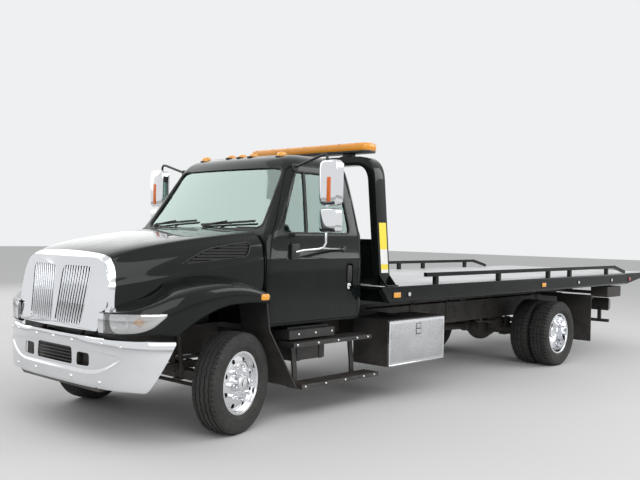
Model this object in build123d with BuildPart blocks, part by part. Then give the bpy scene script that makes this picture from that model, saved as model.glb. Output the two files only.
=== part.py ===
"""Flatbed tow truck: a conventional cab on a ladder frame, with a tilting and sliding recovery deck.

Millimetres. +X forward, +Y left, +Z up. The origin is on the ground in the middle of the truck's length.
"""
import os
from math import atan2, cos, degrees, radians, sin

from build123d import *

os.makedirs("parts", exist_ok=True)

# Driving dimensions of the whole truck
overall_length = 9480
front_overhang = 1035
wheelbase = 5510
front_x = overall_length / 2 - front_overhang
rear_x = front_x - wheelbase
nose_x = overall_length / 2
tail_x = -overall_length / 2
rear_overhang = overall_length - front_overhang - wheelbase
drawn_overhang = 2935
seat_gap = 0.3
running_gap = 0.5


def behind(back):
    """A place that far behind the front axle; past the rear axle it keeps its share of the overhang."""
    past = max(back - wheelbase, 0)
    return front_x - (back - past) - past * rear_overhang / drawn_overhang


# Tyres and wheels
tyre_radius = 420
tyre_width = 245
tread_width = 205
bead_radius = 248
bead_width = 166
rim_wall = 9
flange_radius = 263
flange_width = 10
rim_width = bead_width + 2 * running_gap + 2 * flange_width
lug_count = 8
lug_circle = 137.5
lug_radius = 17
hand_hole_count = 8
hand_hole_radius = 21
hand_hole_circle = 196
front_track_half = 1000
dual_spacing = 280
outer_dual_y = 1095
inner_dual_y = outer_dual_y - dual_spacing
steer_angle = 15

# Ladder frame
rail_outer_y = 432
rail_flange = 76
rail_wall = 8
rail_top = 845
rail_depth = 254
rail_bottom = rail_top - rail_depth
rail_inner_y = rail_outer_y - rail_flange
frame_front_x = front_x + 780
frame_rear_x = behind(7120)
frame_cross_top = 790
frame_cross_height = 150
frame_cross_depth = 80

# Cab
cab_front_x = front_x - 412
cab_back_x = front_x - 1730
cab_half_width = 1000
cab_floor_z = rail_top + seat_gap
cab_floor_thick = 40
cab_wall = 50
belt_z = 1660
roof_edge_z = 2330
windscreen_foot_x = front_x - 430
windscreen_head_x = front_x - 800
windscreen_foot_z = 1700
windscreen_head_z = 2300
roof_half_width = cab_half_width - 240
cab_reach = cab_half_width + 100
glass_thick = 6

# Doors
door_front_x = cab_front_x - 12
door_rear_x = front_x - 1625
door_bottom_z = 873
door_top_z = 2290
door_gap = 6
door_rear_gap = 15
door_hinge_x = door_front_x - 10
door_hinge_y = cab_half_width - 2
window_sill_z = 1668
window_head_z = 2235
window_rear_x = front_x - 1530

# Hood and fenders
hood_front_x = front_x + 960
hood_wall = 25
hood_bottom_z = 1000
hood_pivot_x = front_x + 985
hood_pivot_z = 800
hood_arm_y = 300

# Front bumper
bumper_top_z = 830
bumper_bottom_z = 440
bumper_wall = 12

# Tilt frame
tilt_rail_wide = 70
tilt_rail_gap = 22
tilt_rail_bottom = rail_top + tilt_rail_gap
tilt_rail_top = 1000
tilt_front_x = front_x - 2150
tilt_rear_x = behind(7480)
tilt_pivot_x = behind(7050)
tilt_pivot_z = 800
pivot_radius = 30
tilt_cross_top = tilt_rail_bottom + 15
tilt_cross_bottom = frame_cross_top + 20

# Deck
deck_front_x = front_x - 1765
deck_half_width = 1220
side_reach = deck_half_width + 80
deck_top_z = 1160
deck_floor_thick = 30
deck_channel_wide = 60
deck_bottom_z = tilt_rail_top + running_gap
deck_sill_y = rail_outer_y + 10
deck_sill_wide = 60
deck_sill_bottom = 905
tail_taper_x = behind(7600)
tail_tip_thick = 45

# Headboard arch and light bar
arch_front_x = front_x - 1890
arch_depth = 160
arch_foot_y = deck_half_width - 145
arch_head_y = deck_half_width - 260
arch_top = 2460
arch_tube = 90
arch_corner = 170
light_bar_half = deck_half_width - 350
light_bar_bottom = 2500
light_bar_top = 2600

# Hydraulic cylinders
tilt_cylinder_y = 220
tilt_base_x = front_x - 4750
tilt_base_z = 660
tilt_eye_x = front_x - 3750
tilt_eye_z = 915
tilt_barrel_radius = 50
tilt_rod_radius = 28
slide_z = 930
slide_barrel_radius = 48
slide_bore = 35
slide_rod_radius = 30
slide_base_x = behind(6300)
slide_eye_x = behind(6500)


def side_prism(points, y_range):
    """A closed outline of (x, z) points, solid between two values of Y."""
    with BuildSketch(Plane.XZ.offset(-y_range[0])) as sketch:
        with BuildLine():
            Polyline(*points, close=True)
        make_face()
    return extrude(sketch.sketch, amount=y_range[1] - y_range[0], dir=(0, 1, 0), mode=Mode.PRIVATE)


def plan_prism(points, z_range):
    """A closed outline of (x, y) points, solid between two values of Z."""
    with BuildSketch(Plane.XY.offset(z_range[0])) as sketch:
        with BuildLine():
            Polyline(*points, close=True)
        make_face()
    return extrude(sketch.sketch, amount=z_range[1] - z_range[0], dir=(0, 0, 1), mode=Mode.PRIVATE)


def front_prism(points, x_range):
    """A closed outline of (y, z) points, solid between two values of X."""
    with BuildSketch(Plane.YZ.offset(x_range[0])) as sketch:
        with BuildLine():
            Polyline(*points, close=True)
        make_face()
    return extrude(sketch.sketch, amount=x_range[1] - x_range[0], dir=(1, 0, 0), mode=Mode.PRIVATE)


def block(x_range, y_range, z_range, mode=Mode.ADD):
    """A box between two values along each axis."""
    middle = [(low + high) / 2 for low, high in (x_range, y_range, z_range)]
    with Locations(tuple(middle)):
        Box(x_range[1] - x_range[0], y_range[1] - y_range[0], z_range[1] - z_range[0], mode=mode)


def bar(start, end, radius, mode=Mode.ADD):
    """A round bar from one point to another."""
    line = Vector(*end) - Vector(*start)
    with Locations(Plane(origin=start, z_dir=line).location):
        Cylinder(radius, line.length, align=(Align.CENTER, Align.CENTER, Align.MIN), mode=mode)


def save(piece, name):
    """Label a finished piece and write it under its own name."""
    piece.label = name
    export_step(piece, f"parts/{name}.step")


# Tyre: a closed ring about the local Y axis, centred on the wheel's middle plane
def tyre_face():
    half = tyre_width / 2
    bead = bead_width / 2
    tread = tread_width / 2
    side_radius = (bead_radius + tyre_radius) / 2
    lip_radius = flange_radius + 3
    with BuildSketch(Plane.XY) as sketch:
        with BuildLine():
            Polyline((lip_radius, -bead), (bead_radius, -bead), (bead_radius, bead), (lip_radius, bead))
            ThreePointArc((lip_radius, bead), (side_radius, half), (tyre_radius - 22, tread))
            ThreePointArc((tyre_radius - 22, tread), (tyre_radius - 5, tread - 12), (tyre_radius, tread - 32))
            Line((tyre_radius, tread - 32), (tyre_radius, 32 - tread))
            ThreePointArc((tyre_radius, 32 - tread), (tyre_radius - 5, 12 - tread),
                          (tyre_radius - 22, -tread))
            ThreePointArc((tyre_radius - 22, -tread), (side_radius, -half), (lip_radius, -bead))
        make_face()
    return sketch.sketch


# Wheel section for a disc whose mounting face is at the local y = face_y
def wheel_face(face_y, disc_y):
    edge = rim_width / 2
    inner = bead_radius - running_gap - rim_wall
    outer = bead_radius - running_gap
    with BuildSketch(Plane.XY) as sketch:
        with BuildLine():
            Polyline(
                (flange_radius, -edge), (flange_radius, flange_width - edge), (outer, flange_width - edge),
                (outer, edge - flange_width), (flange_radius, edge - flange_width), (flange_radius, edge),
                (inner, edge), (inner, disc_y + rim_wall), (lug_circle + 50, face_y + rim_wall),
                (60, face_y + rim_wall), (60, face_y - rim_wall), (lug_circle + 50, face_y - rim_wall),
                (inner, disc_y - rim_wall), (inner, -edge), close=True)
        make_face()
    return sketch.sketch


# Front wheel: its disc stands near the outer flange, the hub and drum are one with it
hub_back_y = -85
with BuildPart() as front_tyre:
    revolve(tyre_face(), axis=Axis.Y)

with BuildPart() as front_wheel:
    revolve(wheel_face(60, 40), axis=Axis.Y)
    bar((0, hub_back_y, 0), (0, 60, 0), 66)
    bar((0, hub_back_y, 0), (0, hub_back_y + 90, 0), 190)
    bar((0, 60, 0), (0, 115, 0), 72)
    for index in range(lug_count):
        turn = radians(360 / lug_count * index)
        spot = (lug_circle * cos(turn), lug_circle * sin(turn))
        bar((spot[0], 60, spot[1]), (spot[0], 112, spot[1]), lug_radius)
    for index in range(hand_hole_count):
        turn = radians(360 / hand_hole_count * (index + 0.5))
        spot = (hand_hole_circle * cos(turn), hand_hole_circle * sin(turn))
        bar((spot[0], 20, spot[1]), (spot[0], 90, spot[1]), hand_hole_radius, mode=Mode.SUBTRACT)

# Rear wheels: two rims back to back, with one hub and drum
rear_hub_back_y = 672
pair_middle_y = (outer_dual_y + inner_dual_y) / 2
rear_disc = dual_spacing / 2 - rim_wall
outer_rim = Pos(0, outer_dual_y, 0) * revolve(wheel_face(-rear_disc, -60), axis=Axis.Y)
inner_rim = Pos(0, inner_dual_y, 0) * revolve(wheel_face(rear_disc, 60), axis=Axis.Y)
with BuildPart() as rear_wheel:
    add(outer_rim)
    add(inner_rim)
    bar((0, rear_hub_back_y, 0), (0, pair_middle_y, 0), 205)
    bar((0, pair_middle_y, 0), (0, outer_dual_y - 20, 0), 75)
    bar((0, outer_dual_y - 20, 0), (0, outer_dual_y + 20, 0), 62)
    for index in range(lug_count):
        turn = radians(360 / lug_count * index)
        spot = (lug_circle * cos(turn), lug_circle * sin(turn))
        bar((spot[0], pair_middle_y, spot[1]), (spot[0], pair_middle_y + 55, spot[1]), lug_radius)
    for index in range(hand_hole_count):
        turn = radians(360 / hand_hole_count * (index + 0.5))
        spot = (hand_hole_circle * cos(turn), hand_hole_circle * sin(turn))
        bar((spot[0], pair_middle_y + 12, spot[1]), (spot[0], pair_middle_y + 110, spot[1]),
            hand_hole_radius, mode=Mode.SUBTRACT)

tyre_ring = revolve(tyre_face(), axis=Axis.Y)
with BuildPart() as rear_tyres:
    add(Pos(0, outer_dual_y, 0) * tyre_ring)
    add(Pos(0, inner_dual_y, 0) * tyre_ring)

# Steering: kingpins stand in the axle's ends, and both wheels are turned to the left
kingpin_y = 860
axle_z = tyre_radius
wheel_offset = front_track_half - kingpin_y
knuckle_ear = 40
boss_height = 150
boss_radius = 38
knuckle_reach = boss_height / 2 + knuckle_ear
kingpin_radius = 22
arm_length = 190
arm_drop = 95
knuckle_face_y = wheel_offset + hub_back_y - running_gap
with BuildPart() as knuckle:
    block((-50, 50), (-50, 50), (boss_height / 2 + running_gap, boss_height / 2 + knuckle_ear))
    block((-50, 50), (-50, 50), (-boss_height / 2 - knuckle_ear, -boss_height / 2 - running_gap))
    bar((0, 0, -boss_height), (0, 0, boss_height), kingpin_radius + 0.05, mode=Mode.SUBTRACT)
    block((-50, 50), (boss_radius + 4, knuckle_face_y), (-knuckle_reach, knuckle_reach))
    block((-arm_length - 25, -40), (-30, 25), (-arm_drop - 15, -arm_drop + 15))
    bar((-arm_length, 0, -arm_drop - 30), (-arm_length, 0, -arm_drop + 30), 12.05, mode=Mode.SUBTRACT)

left_corner = Location((front_x, kingpin_y, axle_z), (0, 0, steer_angle))
right_corner = Location((front_x, -kingpin_y, axle_z), (0, 0, steer_angle))
left_wheel = left_corner * Location((0, wheel_offset, 0))
right_wheel = right_corner * Location((0, -wheel_offset, 0))
rear_place = Location((rear_x, 0, axle_z))
save(left_wheel * front_tyre.part, "tyre_front_left")
save(right_wheel * mirror(front_tyre.part, about=Plane.XZ), "tyre_front_right")
save(left_wheel * front_wheel.part, "wheel_front_left")
save(right_wheel * mirror(front_wheel.part, about=Plane.XZ), "wheel_front_right")
save(rear_place * rear_tyres.part, "tyres_rear_left")
save(rear_place * mirror(rear_tyres.part, about=Plane.XZ), "tyres_rear_right")
save(rear_place * rear_wheel.part, "wheels_rear_left")
save(rear_place * mirror(rear_wheel.part, about=Plane.XZ), "wheels_rear_right")
save(left_corner * knuckle.part, "knuckle_left")
save(right_corner * mirror(knuckle.part, about=Plane.XZ), "knuckle_right")

# Tie rod between the two steering arms, with a stud down through each arm's eye
arm_back = arm_length * cos(radians(steer_angle))
arm_shift = arm_length * sin(radians(steer_angle))
stud_x = front_x - arm_back
stud_z = axle_z - arm_drop
tie_z = stud_z - 45
with BuildPart() as tie_rod:
    bar((stud_x, -kingpin_y - arm_shift, tie_z), (stud_x, kingpin_y - arm_shift, tie_z), 17)
    for stud_y in (kingpin_y - arm_shift, -kingpin_y - arm_shift):
        bar((stud_x, stud_y, tie_z), (stud_x, stud_y, stud_z + 20), 12)
save(tie_rod.part, "tie_rod")

# Front axle: a beam with a boss and kingpin at each end
axle_beam_half = 45
axle_beam_top = 465
axle_beam_bottom = 380
with BuildPart() as front_axle:
    block((front_x - axle_beam_half, front_x + axle_beam_half), (-kingpin_y, kingpin_y),
          (axle_beam_bottom, axle_beam_top))
    for side in (-1, 1):
        middle = (front_x, side * kingpin_y)
        bar((*middle, axle_z - boss_height / 2), (*middle, axle_z + boss_height / 2), boss_radius)
        bar((*middle, axle_z - knuckle_reach - 5), (*middle, axle_z + knuckle_reach + 5), kingpin_radius)
save(front_axle.part, "front_axle")

# Rear axle: tube, differential housing and spring seats
axle_tube = 75
diff_radius = 190
spring_y = (rail_outer_y + rail_inner_y) / 2
spring_wide = 70
with BuildPart() as rear_axle:
    bar((rear_x, -rear_hub_back_y + running_gap, axle_z), (rear_x, rear_hub_back_y - running_gap, axle_z),
        axle_tube)
    with Locations((rear_x, 0, axle_z)):
        Sphere(diff_radius)
    bar((rear_x, 0, axle_z), (rear_x + 330, 0, axle_z + 20), 75)
    for side in (-1, 1):
        block((rear_x - 60, rear_x + 60), sorted((side * (spring_y - 40), side * (spring_y + 40))),
              (axle_z, axle_z + axle_tube + 8))
save(rear_axle.part, "rear_axle")

# Leaf springs: each is an arched pack, its eyes hung from the rail by shackle blocks
# columns: middle x, half length, seat z
spring_table = ((front_x, 600, axle_beam_top), (rear_x, 700, axle_z + axle_tube + 8))
with BuildPart() as leaf_springs:
    for middle_x, half, seat_z in spring_table:
        low = seat_z + seat_gap
        eye_z = low + 45
        add(side_prism([(middle_x - half, eye_z), (middle_x - half * 0.55, low + 12), (middle_x - 90, low),
                             (middle_x + 90, low), (middle_x + half * 0.55, low + 12),
                        (middle_x + half, eye_z),
                             (middle_x + half, eye_z + 14), (middle_x + half * 0.55, low + 40),
                             (middle_x + 90, low + 58), (middle_x - 90, low + 58),
                             (middle_x - half * 0.55, low + 40), (middle_x - half, eye_z + 14)],
                            (spring_y - spring_wide / 2, spring_y + spring_wide / 2)))
        for end_x in (middle_x - half + 25, middle_x + half - 25):
            block((end_x - 25, end_x + 25), (spring_y - 30, spring_y + 30), (eye_z, rail_bottom - seat_gap))
    mirror(about=Plane.XZ)
save(leaf_springs.part, "leaf_springs")

# Ladder frame: two channel rails, their cross members, the hood's pivot ears and the bumper's horns
cross_stations = (front_x + 700, front_x - 1500, front_x - 2900, front_x - 4860, behind(6100), behind(6780))
pivot_pin_radius = 12
base_pin_radius = 18
with BuildPart() as ladder_frame:
    block((frame_rear_x, frame_front_x), (rail_inner_y, rail_outer_y), (rail_bottom, rail_top))
    block((frame_rear_x, frame_front_x), (rail_inner_y, rail_outer_y - rail_wall),
          (rail_bottom + rail_wall, rail_top - rail_wall), mode=Mode.SUBTRACT)
    block((frame_front_x, front_x + 1000), (325, 345), (740, 820))
    block((frame_front_x - 60, frame_front_x), (325, rail_outer_y), (640, 820))
    for pad_x in (front_x - 2400, front_x - 4400):
        block((pad_x - 60, pad_x + 60), (rail_inner_y + 10, rail_outer_y - 10),
              (rail_top - rail_wall, tilt_rail_bottom - seat_gap))
    bar((hood_pivot_x, 270, hood_pivot_z), (hood_pivot_x, 345, hood_pivot_z), pivot_pin_radius)
    mirror(about=Plane.XZ)
    for station in cross_stations:
        block((station - frame_cross_depth / 2, station + frame_cross_depth / 2),
              (rail_wall - rail_outer_y, rail_outer_y - rail_wall),
              (frame_cross_top - frame_cross_height, frame_cross_top))
    bar((tilt_pivot_x, rail_wall - rail_outer_y, tilt_pivot_z),
        (tilt_pivot_x, rail_outer_y - rail_wall, tilt_pivot_z),
        pivot_radius)
    for side_y in (-tilt_cylinder_y, tilt_cylinder_y):
        for lug_y in (side_y - 38, side_y + 38):
            block((tilt_base_x - 90, tilt_base_x + 35), (lug_y - 6, lug_y + 6),
                  (tilt_base_z - 35, tilt_base_z + 35))
        bar((tilt_base_x, side_y - 44, tilt_base_z), (tilt_base_x, side_y + 44, tilt_base_z), base_pin_radius)
save(ladder_frame.part, "ladder_frame")

# Front bumper: a wrapped sheet with three openings, its ends cut back at a slant
# columns: distance ahead of the axle, half width
bumper_plan = ((1035, 0), (1026, 450), (968, 800), (850, 1035), (690, 1185))
with BuildPart() as front_bumper:
    skin_outer = [(front_x + x, y) for x, y in bumper_plan[::-1]]
    skin_outer += [(front_x + x, -y) for x, y in bumper_plan[1:]]
    skin_inner = [(x - bumper_wall, y * 0.99) for x, y in skin_outer]
    add(plan_prism(skin_outer + skin_inner[::-1], (bumper_bottom_z, bumper_top_z)))
    add(side_prism([(front_x + 600, bumper_bottom_z - 10), (front_x + 860, bumper_bottom_z - 10),
                    (front_x + 680, bumper_top_z + 10), (front_x + 600, bumper_top_z + 10)],
                   (-side_reach, side_reach)), mode=Mode.SUBTRACT)
    block((front_x + 900, nose_x + 5), (-250, 250), (590, 735), mode=Mode.SUBTRACT)
    for side in (-1, 1):
        block((front_x + 900, nose_x + 5), sorted((side * 330, side * 500)), (590, 690), mode=Mode.SUBTRACT)
        block((frame_front_x + seat_gap, front_x + 1018), sorted((side * 362, side * 425)), (740, 790))
save(front_bumper.part, "front_bumper")

# Engine as one plain block, radiator ahead of it, and the gearbox with its shaft to the rear axle
engine_front_x = front_x + 560
engine_rear_x = front_x - 360
engine_half_width = 290
engine_top_z = 1180
with BuildPart() as engine:
    block((engine_rear_x, engine_front_x), (-engine_half_width, engine_half_width),
          (rail_bottom - 20, engine_top_z))
save(engine.part, "engine")
with BuildPart() as radiator:
    block((front_x + 720, front_x + 790), (-320, 320), (rail_top + seat_gap, 1270))
    for side in (-1, 1):
        block((front_x + 730, front_x + 778), sorted((side * 315, side * 425)), (rail_top + seat_gap, 900))
save(radiator.part, "radiator")
gearbox_rear_x = front_x - 1150
shaft_radius = 48
with BuildPart() as drive_line:
    block((gearbox_rear_x, engine_rear_x - seat_gap), (-190, 190), (510, 800))
    bar((gearbox_rear_x + 10, 0, 570), (rear_x + 332, 0, axle_z + 22), shaft_radius)
save(drive_line.part, "drive_line")


# Cab: lofted through level rings with rounded corners; the inside is the same, one wall smaller
# columns: height, front and back ahead of the axle, in from the widest, radius of the front and rear corners
cab_rings = ((cab_floor_z, -412, -1730, 0, 50, 80), (1460, -412, -1730, 0, 50, 90),
             (1665, -412, -1730, 15, 80, 100), (1700, -430, -1730, 26, 90, 110),
             (2300, -802, -1716, 196, 110, 160),
             (2370, -872, -1682, 248, 140, 180), (2412, -995, -1598, 365, 150, 190),
             (2430, -1190, -1430, 650, 90, 90))


def cab_envelope(inset):
    """The cab's outer form, or the space inside it when it is shrunk by a wall."""
    rings = []
    for z, front, back, inward, front_round, rear_round in cab_rings:
        height = max(z, cab_floor_z + cab_floor_thick) if inset and z < roof_edge_z else z
        if inset and z > roof_edge_z:
            height = z - inset
        low_x = front_x + back + inset
        high_x = front_x + front - inset
        wide = cab_half_width - inward - inset
        with BuildSketch(Plane.XY.offset(height)) as ring:
            with BuildLine():
                Polyline((high_x, -wide), (high_x, wide), (low_x, wide), (low_x, -wide), close=True)
            make_face()
            fillet(ring.vertices().group_by(Axis.X)[-1], front_round - inset / 2)
            fillet(ring.vertices().sort_by(Axis.X)[:2], rear_round - inset / 2)
        rings.append(ring.sketch)
    return loft(rings, ruled=True, mode=Mode.PRIVATE)


cab_outer = cab_envelope(0)
cab_inner = cab_envelope(cab_wall)
cab_skin = cab_outer - cab_inner


def door_points(grow, rear_grow):
    """The door's outline, grown by its gap to make the opening."""
    return [(door_front_x + grow, door_bottom_z - grow), (door_front_x + grow, windscreen_foot_z - 90),
            (windscreen_foot_x - 100 + grow, windscreen_foot_z),
            (windscreen_head_x - 70 + grow, door_top_z + grow),
            (door_rear_x - rear_grow, door_top_z + grow), (door_rear_x - rear_grow, door_bottom_z - grow)]


def side_region(grow, side):
    """Everything outside the inner face of one side wall, seen from the front; grow takes it further in."""
    inner = cab_half_width - cab_wall - 10 - grow
    upper = roof_half_width - cab_wall + 25 - grow
    points = [(inner, 800), (inner, belt_z - 60), (upper, windscreen_head_z + 20),
              (cab_reach, windscreen_head_z + 20), (cab_reach, 800)]
    return front_prism([(side * y, z) for y, z in points], (cab_back_x - 50, cab_front_x + 50))


def window_points(inset):
    """The side window's outline."""
    return [(windscreen_foot_x - 160 - inset, window_sill_z + inset),
            (windscreen_head_x - 110 - inset, window_head_z - inset),
            (window_rear_x + inset, window_head_z - inset),
            (window_rear_x + inset, window_sill_z + inset)]


def screen_points(inset):
    """The windscreen's outline seen from the front."""
    foot = (cab_half_width - 195 - inset, windscreen_foot_z + 12 + inset)
    head = (cab_half_width - 265 - inset, windscreen_head_z - 22 - inset)
    return [foot, head, (-head[0], head[1]), (-foot[0], foot[1])]


rear_window_half = cab_half_width - 400
rear_window_z = (1760, 2200)
screen_back_x = windscreen_head_x - 60
screen_reach = (screen_back_x, windscreen_foot_x + 100)
screen_cut = front_prism(screen_points(0), screen_reach)
hinge_radius = 8
hinge_height = 70
hinge_heights = (1000, 1440)
hinge_pad_front = cab_front_x + 7
with BuildPart() as cab_shell:
    add(cab_skin)
    for side in (-1, 1):
        add(side_prism(door_points(door_gap, door_rear_gap), (-cab_reach, cab_reach)) & side_region(25, side),
            mode=Mode.SUBTRACT)
        for low in hinge_heights:
            pad_z = (low, low + hinge_height)
            block((cab_front_x - 5, hinge_pad_front),
                  sorted((side * (door_hinge_y - 58), side * (door_hinge_y + 5))), pad_z)
            block((door_hinge_x + hinge_radius + seat_gap, hinge_pad_front),
                  sorted((side * (door_hinge_y - 10), side * (door_hinge_y + 5))), pad_z)
    add(screen_cut, mode=Mode.SUBTRACT)
    block((cab_back_x - 10, cab_back_x + 200), (-rear_window_half, rear_window_half), rear_window_z,
          mode=Mode.SUBTRACT)
save(cab_shell.part, "cab_shell")

glass_layer = cab_envelope(20) - cab_envelope(20 + glass_thick)
with BuildPart() as cab_glass:
    add(glass_layer & front_prism(screen_points(seat_gap), screen_reach))
    block((cab_back_x + 20, cab_back_x + 20 + glass_thick),
          (seat_gap - rear_window_half, rear_window_half - seat_gap),
          (rear_window_z[0] + seat_gap, rear_window_z[1] - seat_gap))
save(cab_glass.part, "cab_glass")

# Doors, with their window glass and mirrors
mirror_y = cab_half_width + 240
door_reach = (600, cab_reach)
with BuildPart() as door:
    add(cab_skin & side_prism(door_points(0, 0), door_reach) & side_region(0, 1))
    add(side_prism(window_points(0), door_reach), mode=Mode.SUBTRACT)
    block((front_x - 1528, front_x - 1484), (cab_half_width - 5, cab_half_width + 12), (1150, 1355))
    for low in hinge_heights:
        bar((door_hinge_x, door_hinge_y, low), (door_hinge_x, door_hinge_y, low + hinge_height), hinge_radius)
with BuildPart() as door_glass:
    add(glass_layer & side_prism(window_points(seat_gap), door_reach))
mirror_housings = [
    Pos(front_x - 915, mirror_y + 20, 2120) * fillet(Box(90, 200, 400).edges(), 28),
    Pos(front_x - 915, mirror_y + 20, 1785) * fillet(Box(74, 170, 210).edges(), 24)]
with BuildPart() as mirror_set:
    for housing in mirror_housings:
        add(housing)
    bar((front_x - 915, mirror_y - 20, 1560), (front_x - 915, mirror_y - 20, 2385), 11)
    bar((front_x - 915, mirror_y - 20, 1575), (front_x - 745, cab_half_width + 14, 1500), 13)
    bar((front_x - 915, mirror_y - 20, 2370), (front_x - 915, cab_half_width - 164, 2278), 9)
    block((front_x - 775, front_x - 715), (cab_half_width + seat_gap, cab_half_width + 20), (1440, 1560))
for side_name, side in (("left", 1), ("right", -1)):
    for piece, name in ((door, "door"), (door_glass, "door_glass"), (mirror_set, "mirror")):
        body = piece.part if side > 0 else mirror(piece.part, about=Plane.XZ)
        save(body, f"{name}_{side_name}")

# Dashboard with the steering column and wheel, and the seats
dash_z = (cab_floor_z + cab_floor_thick + seat_gap, 1560)
steering_y = 430
with BuildPart() as dashboard:
    add(side_prism([(cab_front_x - cab_wall - seat_gap, dash_z[0] + 250),
                    (cab_front_x - cab_wall - seat_gap, 1590),
                    (cab_front_x - 250, 1560), (cab_front_x - 330, 1400),
                    (cab_front_x - 220, dash_z[0] + 250)],
                   (100 - cab_half_width, cab_half_width - 100)))
    bar((cab_front_x - 250, steering_y, 1350), (cab_front_x - 470, steering_y, 1480), 28)
    with Locations(Plane(origin=(cab_front_x - 475, steering_y, 1483), z_dir=(-220, 0, 130)).location):
        Torus(205, 14)
        Box(400, 30, 12)
save(dashboard.part, "dashboard")
floor_top = cab_floor_z + cab_floor_thick
# columns: middle y, width
seat_table = ((430, 520), (-380, 760))
with BuildPart() as seats:
    for seat_y, seat_wide in seat_table:
        sides = (seat_y - seat_wide / 2, seat_y + seat_wide / 2)
        block((front_x - 1500, front_x - 1080), (sides[0] + 40, sides[1] - 40), (floor_top + seat_gap, 1160))
        block((front_x - 1540, front_x - 1040), sides, (1160, 1300))
        add(side_prism([(front_x - 1540, 1240), (front_x - 1440, 1240), (front_x - 1530, 1990),
                        (front_x - 1620, 1990)], sides))
save(seats.part, "seats")


# Hood: a lofted bonnet and two fenders, all one wall thick, open below
# columns: ahead of the axle, low half width, side half width and height, crease half width and height,
# middle height
hood_table = ((-398, 985, 950, 1560, 850, 1668, 1695), (0, 940, 905, 1500, 795, 1630, 1660),
              (400, 868, 825, 1440, 720, 1572, 1604), (780, 755, 720, 1360, 628, 1492, 1528),
              (900, 705, 675, 1320, 590, 1450, 1484), (960, 680, 650, 1290, 565, 1412, 1446))
hood_flat_share = 0.62
fender_side = ((-310, 1085), (-310, 1170), (-80, 1250), (150, 1268), (430, 1240), (700, 1160), (880, 1090),
               (1030, 1045), (1030, 865), (600, 865))
fender_plan = ((-310, 500), (-310, 1160), (350, 1166), (550, 1150), (713, 1105), (820, 1040), (915, 925),
               (985, 765),
               (1015, 600), (1015, 500))
fender_round = 60
fender_round_end = 700
arch_side = ((-700, 700), (-700, 1085), (-310, 1085), (0, 1100), (250, 1075), (430, 1005), (540, 940),
             (640, 866),
             (640, 700))


def bonnet(inset, bottom):
    """The lofted bonnet, or the space inside it when it is shrunk by a wall."""
    sections = []
    for ahead, low, side, side_z, crease, crease_z, middle_z in hood_table:
        x = front_x + ahead
        if inset:
            x = min(x, hood_front_x - inset) if ahead > -300 else x - 10
        half = [(low - inset, bottom), (side - inset, side_z - inset / 2),
                (crease - inset * 0.8, crease_z - inset * 0.9),
                (crease * hood_flat_share, middle_z - inset)]
        with BuildSketch(Plane.YZ.offset(x)) as section:
            with BuildLine():
                Polyline(*half, *[(-y, z) for y, z in half[::-1]], close=True)
            make_face()
        sections.append(section.sketch)
    return loft(sections, ruled=True, mode=Mode.PRIVATE)


def fender(inset):
    """The left fender's block, or when shrunk by a wall the space inside it, which is open below."""
    reach = 300 if inset else 0
    with BuildSketch(Plane.XZ.offset(-400)) as side:
        with BuildLine():
            Polyline(*[(front_x + x, z if z > 870 else z - reach) for x, z in fender_side], close=True)
        make_face()
        if inset:
            offset(amount=-inset, kind=Kind.INTERSECTION)
    with BuildSketch(Plane.XY.offset(500)) as plan:
        with BuildLine():
            Polyline(*[(front_x + x, y) for x, y in fender_plan], close=True)
        make_face()
        if inset:
            offset(amount=-inset, kind=Kind.INTERSECTION)
    form = extrude(side.sketch, amount=900, dir=(0, 1, 0), mode=Mode.PRIVATE) & extrude(
        plan.sketch, amount=900, dir=(0, 0, 1), mode=Mode.PRIVATE)
    if inset:
        return form
    crest = [edge for edge in form.edges() if edge.center().Z > 1030 and edge.center().Y > 560
             and edge.center().X < front_x + fender_round_end and edge.bounding_box().size.X > 1
             and edge.bounding_box().size.Z > 0.01]
    return form.fillet(fender_round, crest)


def lamp_outline(grow):
    """The headlamp's outline seen from the side."""
    return [(front_x + 715 - grow, 1036 + grow), (front_x + 800 - grow, 915 - grow),
            (front_x + 880, 885 - grow),
            (front_x + 1100, 878 - grow), (front_x + 1100, 1028 + grow)]


def surround_outline(grow):
    """The bright surround's outline seen from the front."""
    half = [(665, 880), (690, 1045), (645, 1075), (600, 1370), (510, 1432)]
    half = [(y + grow, z + (grow if z > 1400 else -grow if z < 900 else 0)) for y, z in half]
    return half + [(-y, z) for y, z in half[::-1]]


def grille_opening(inset, side):
    """One of the two openings in the surround."""
    points = [(62 + inset, 955 + inset), (375 - inset, 965 + inset), (425 - inset, 1355 - inset),
              (105 + inset, 1352 - inset)]
    return [(side * y, z) for y, z in points]


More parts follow.
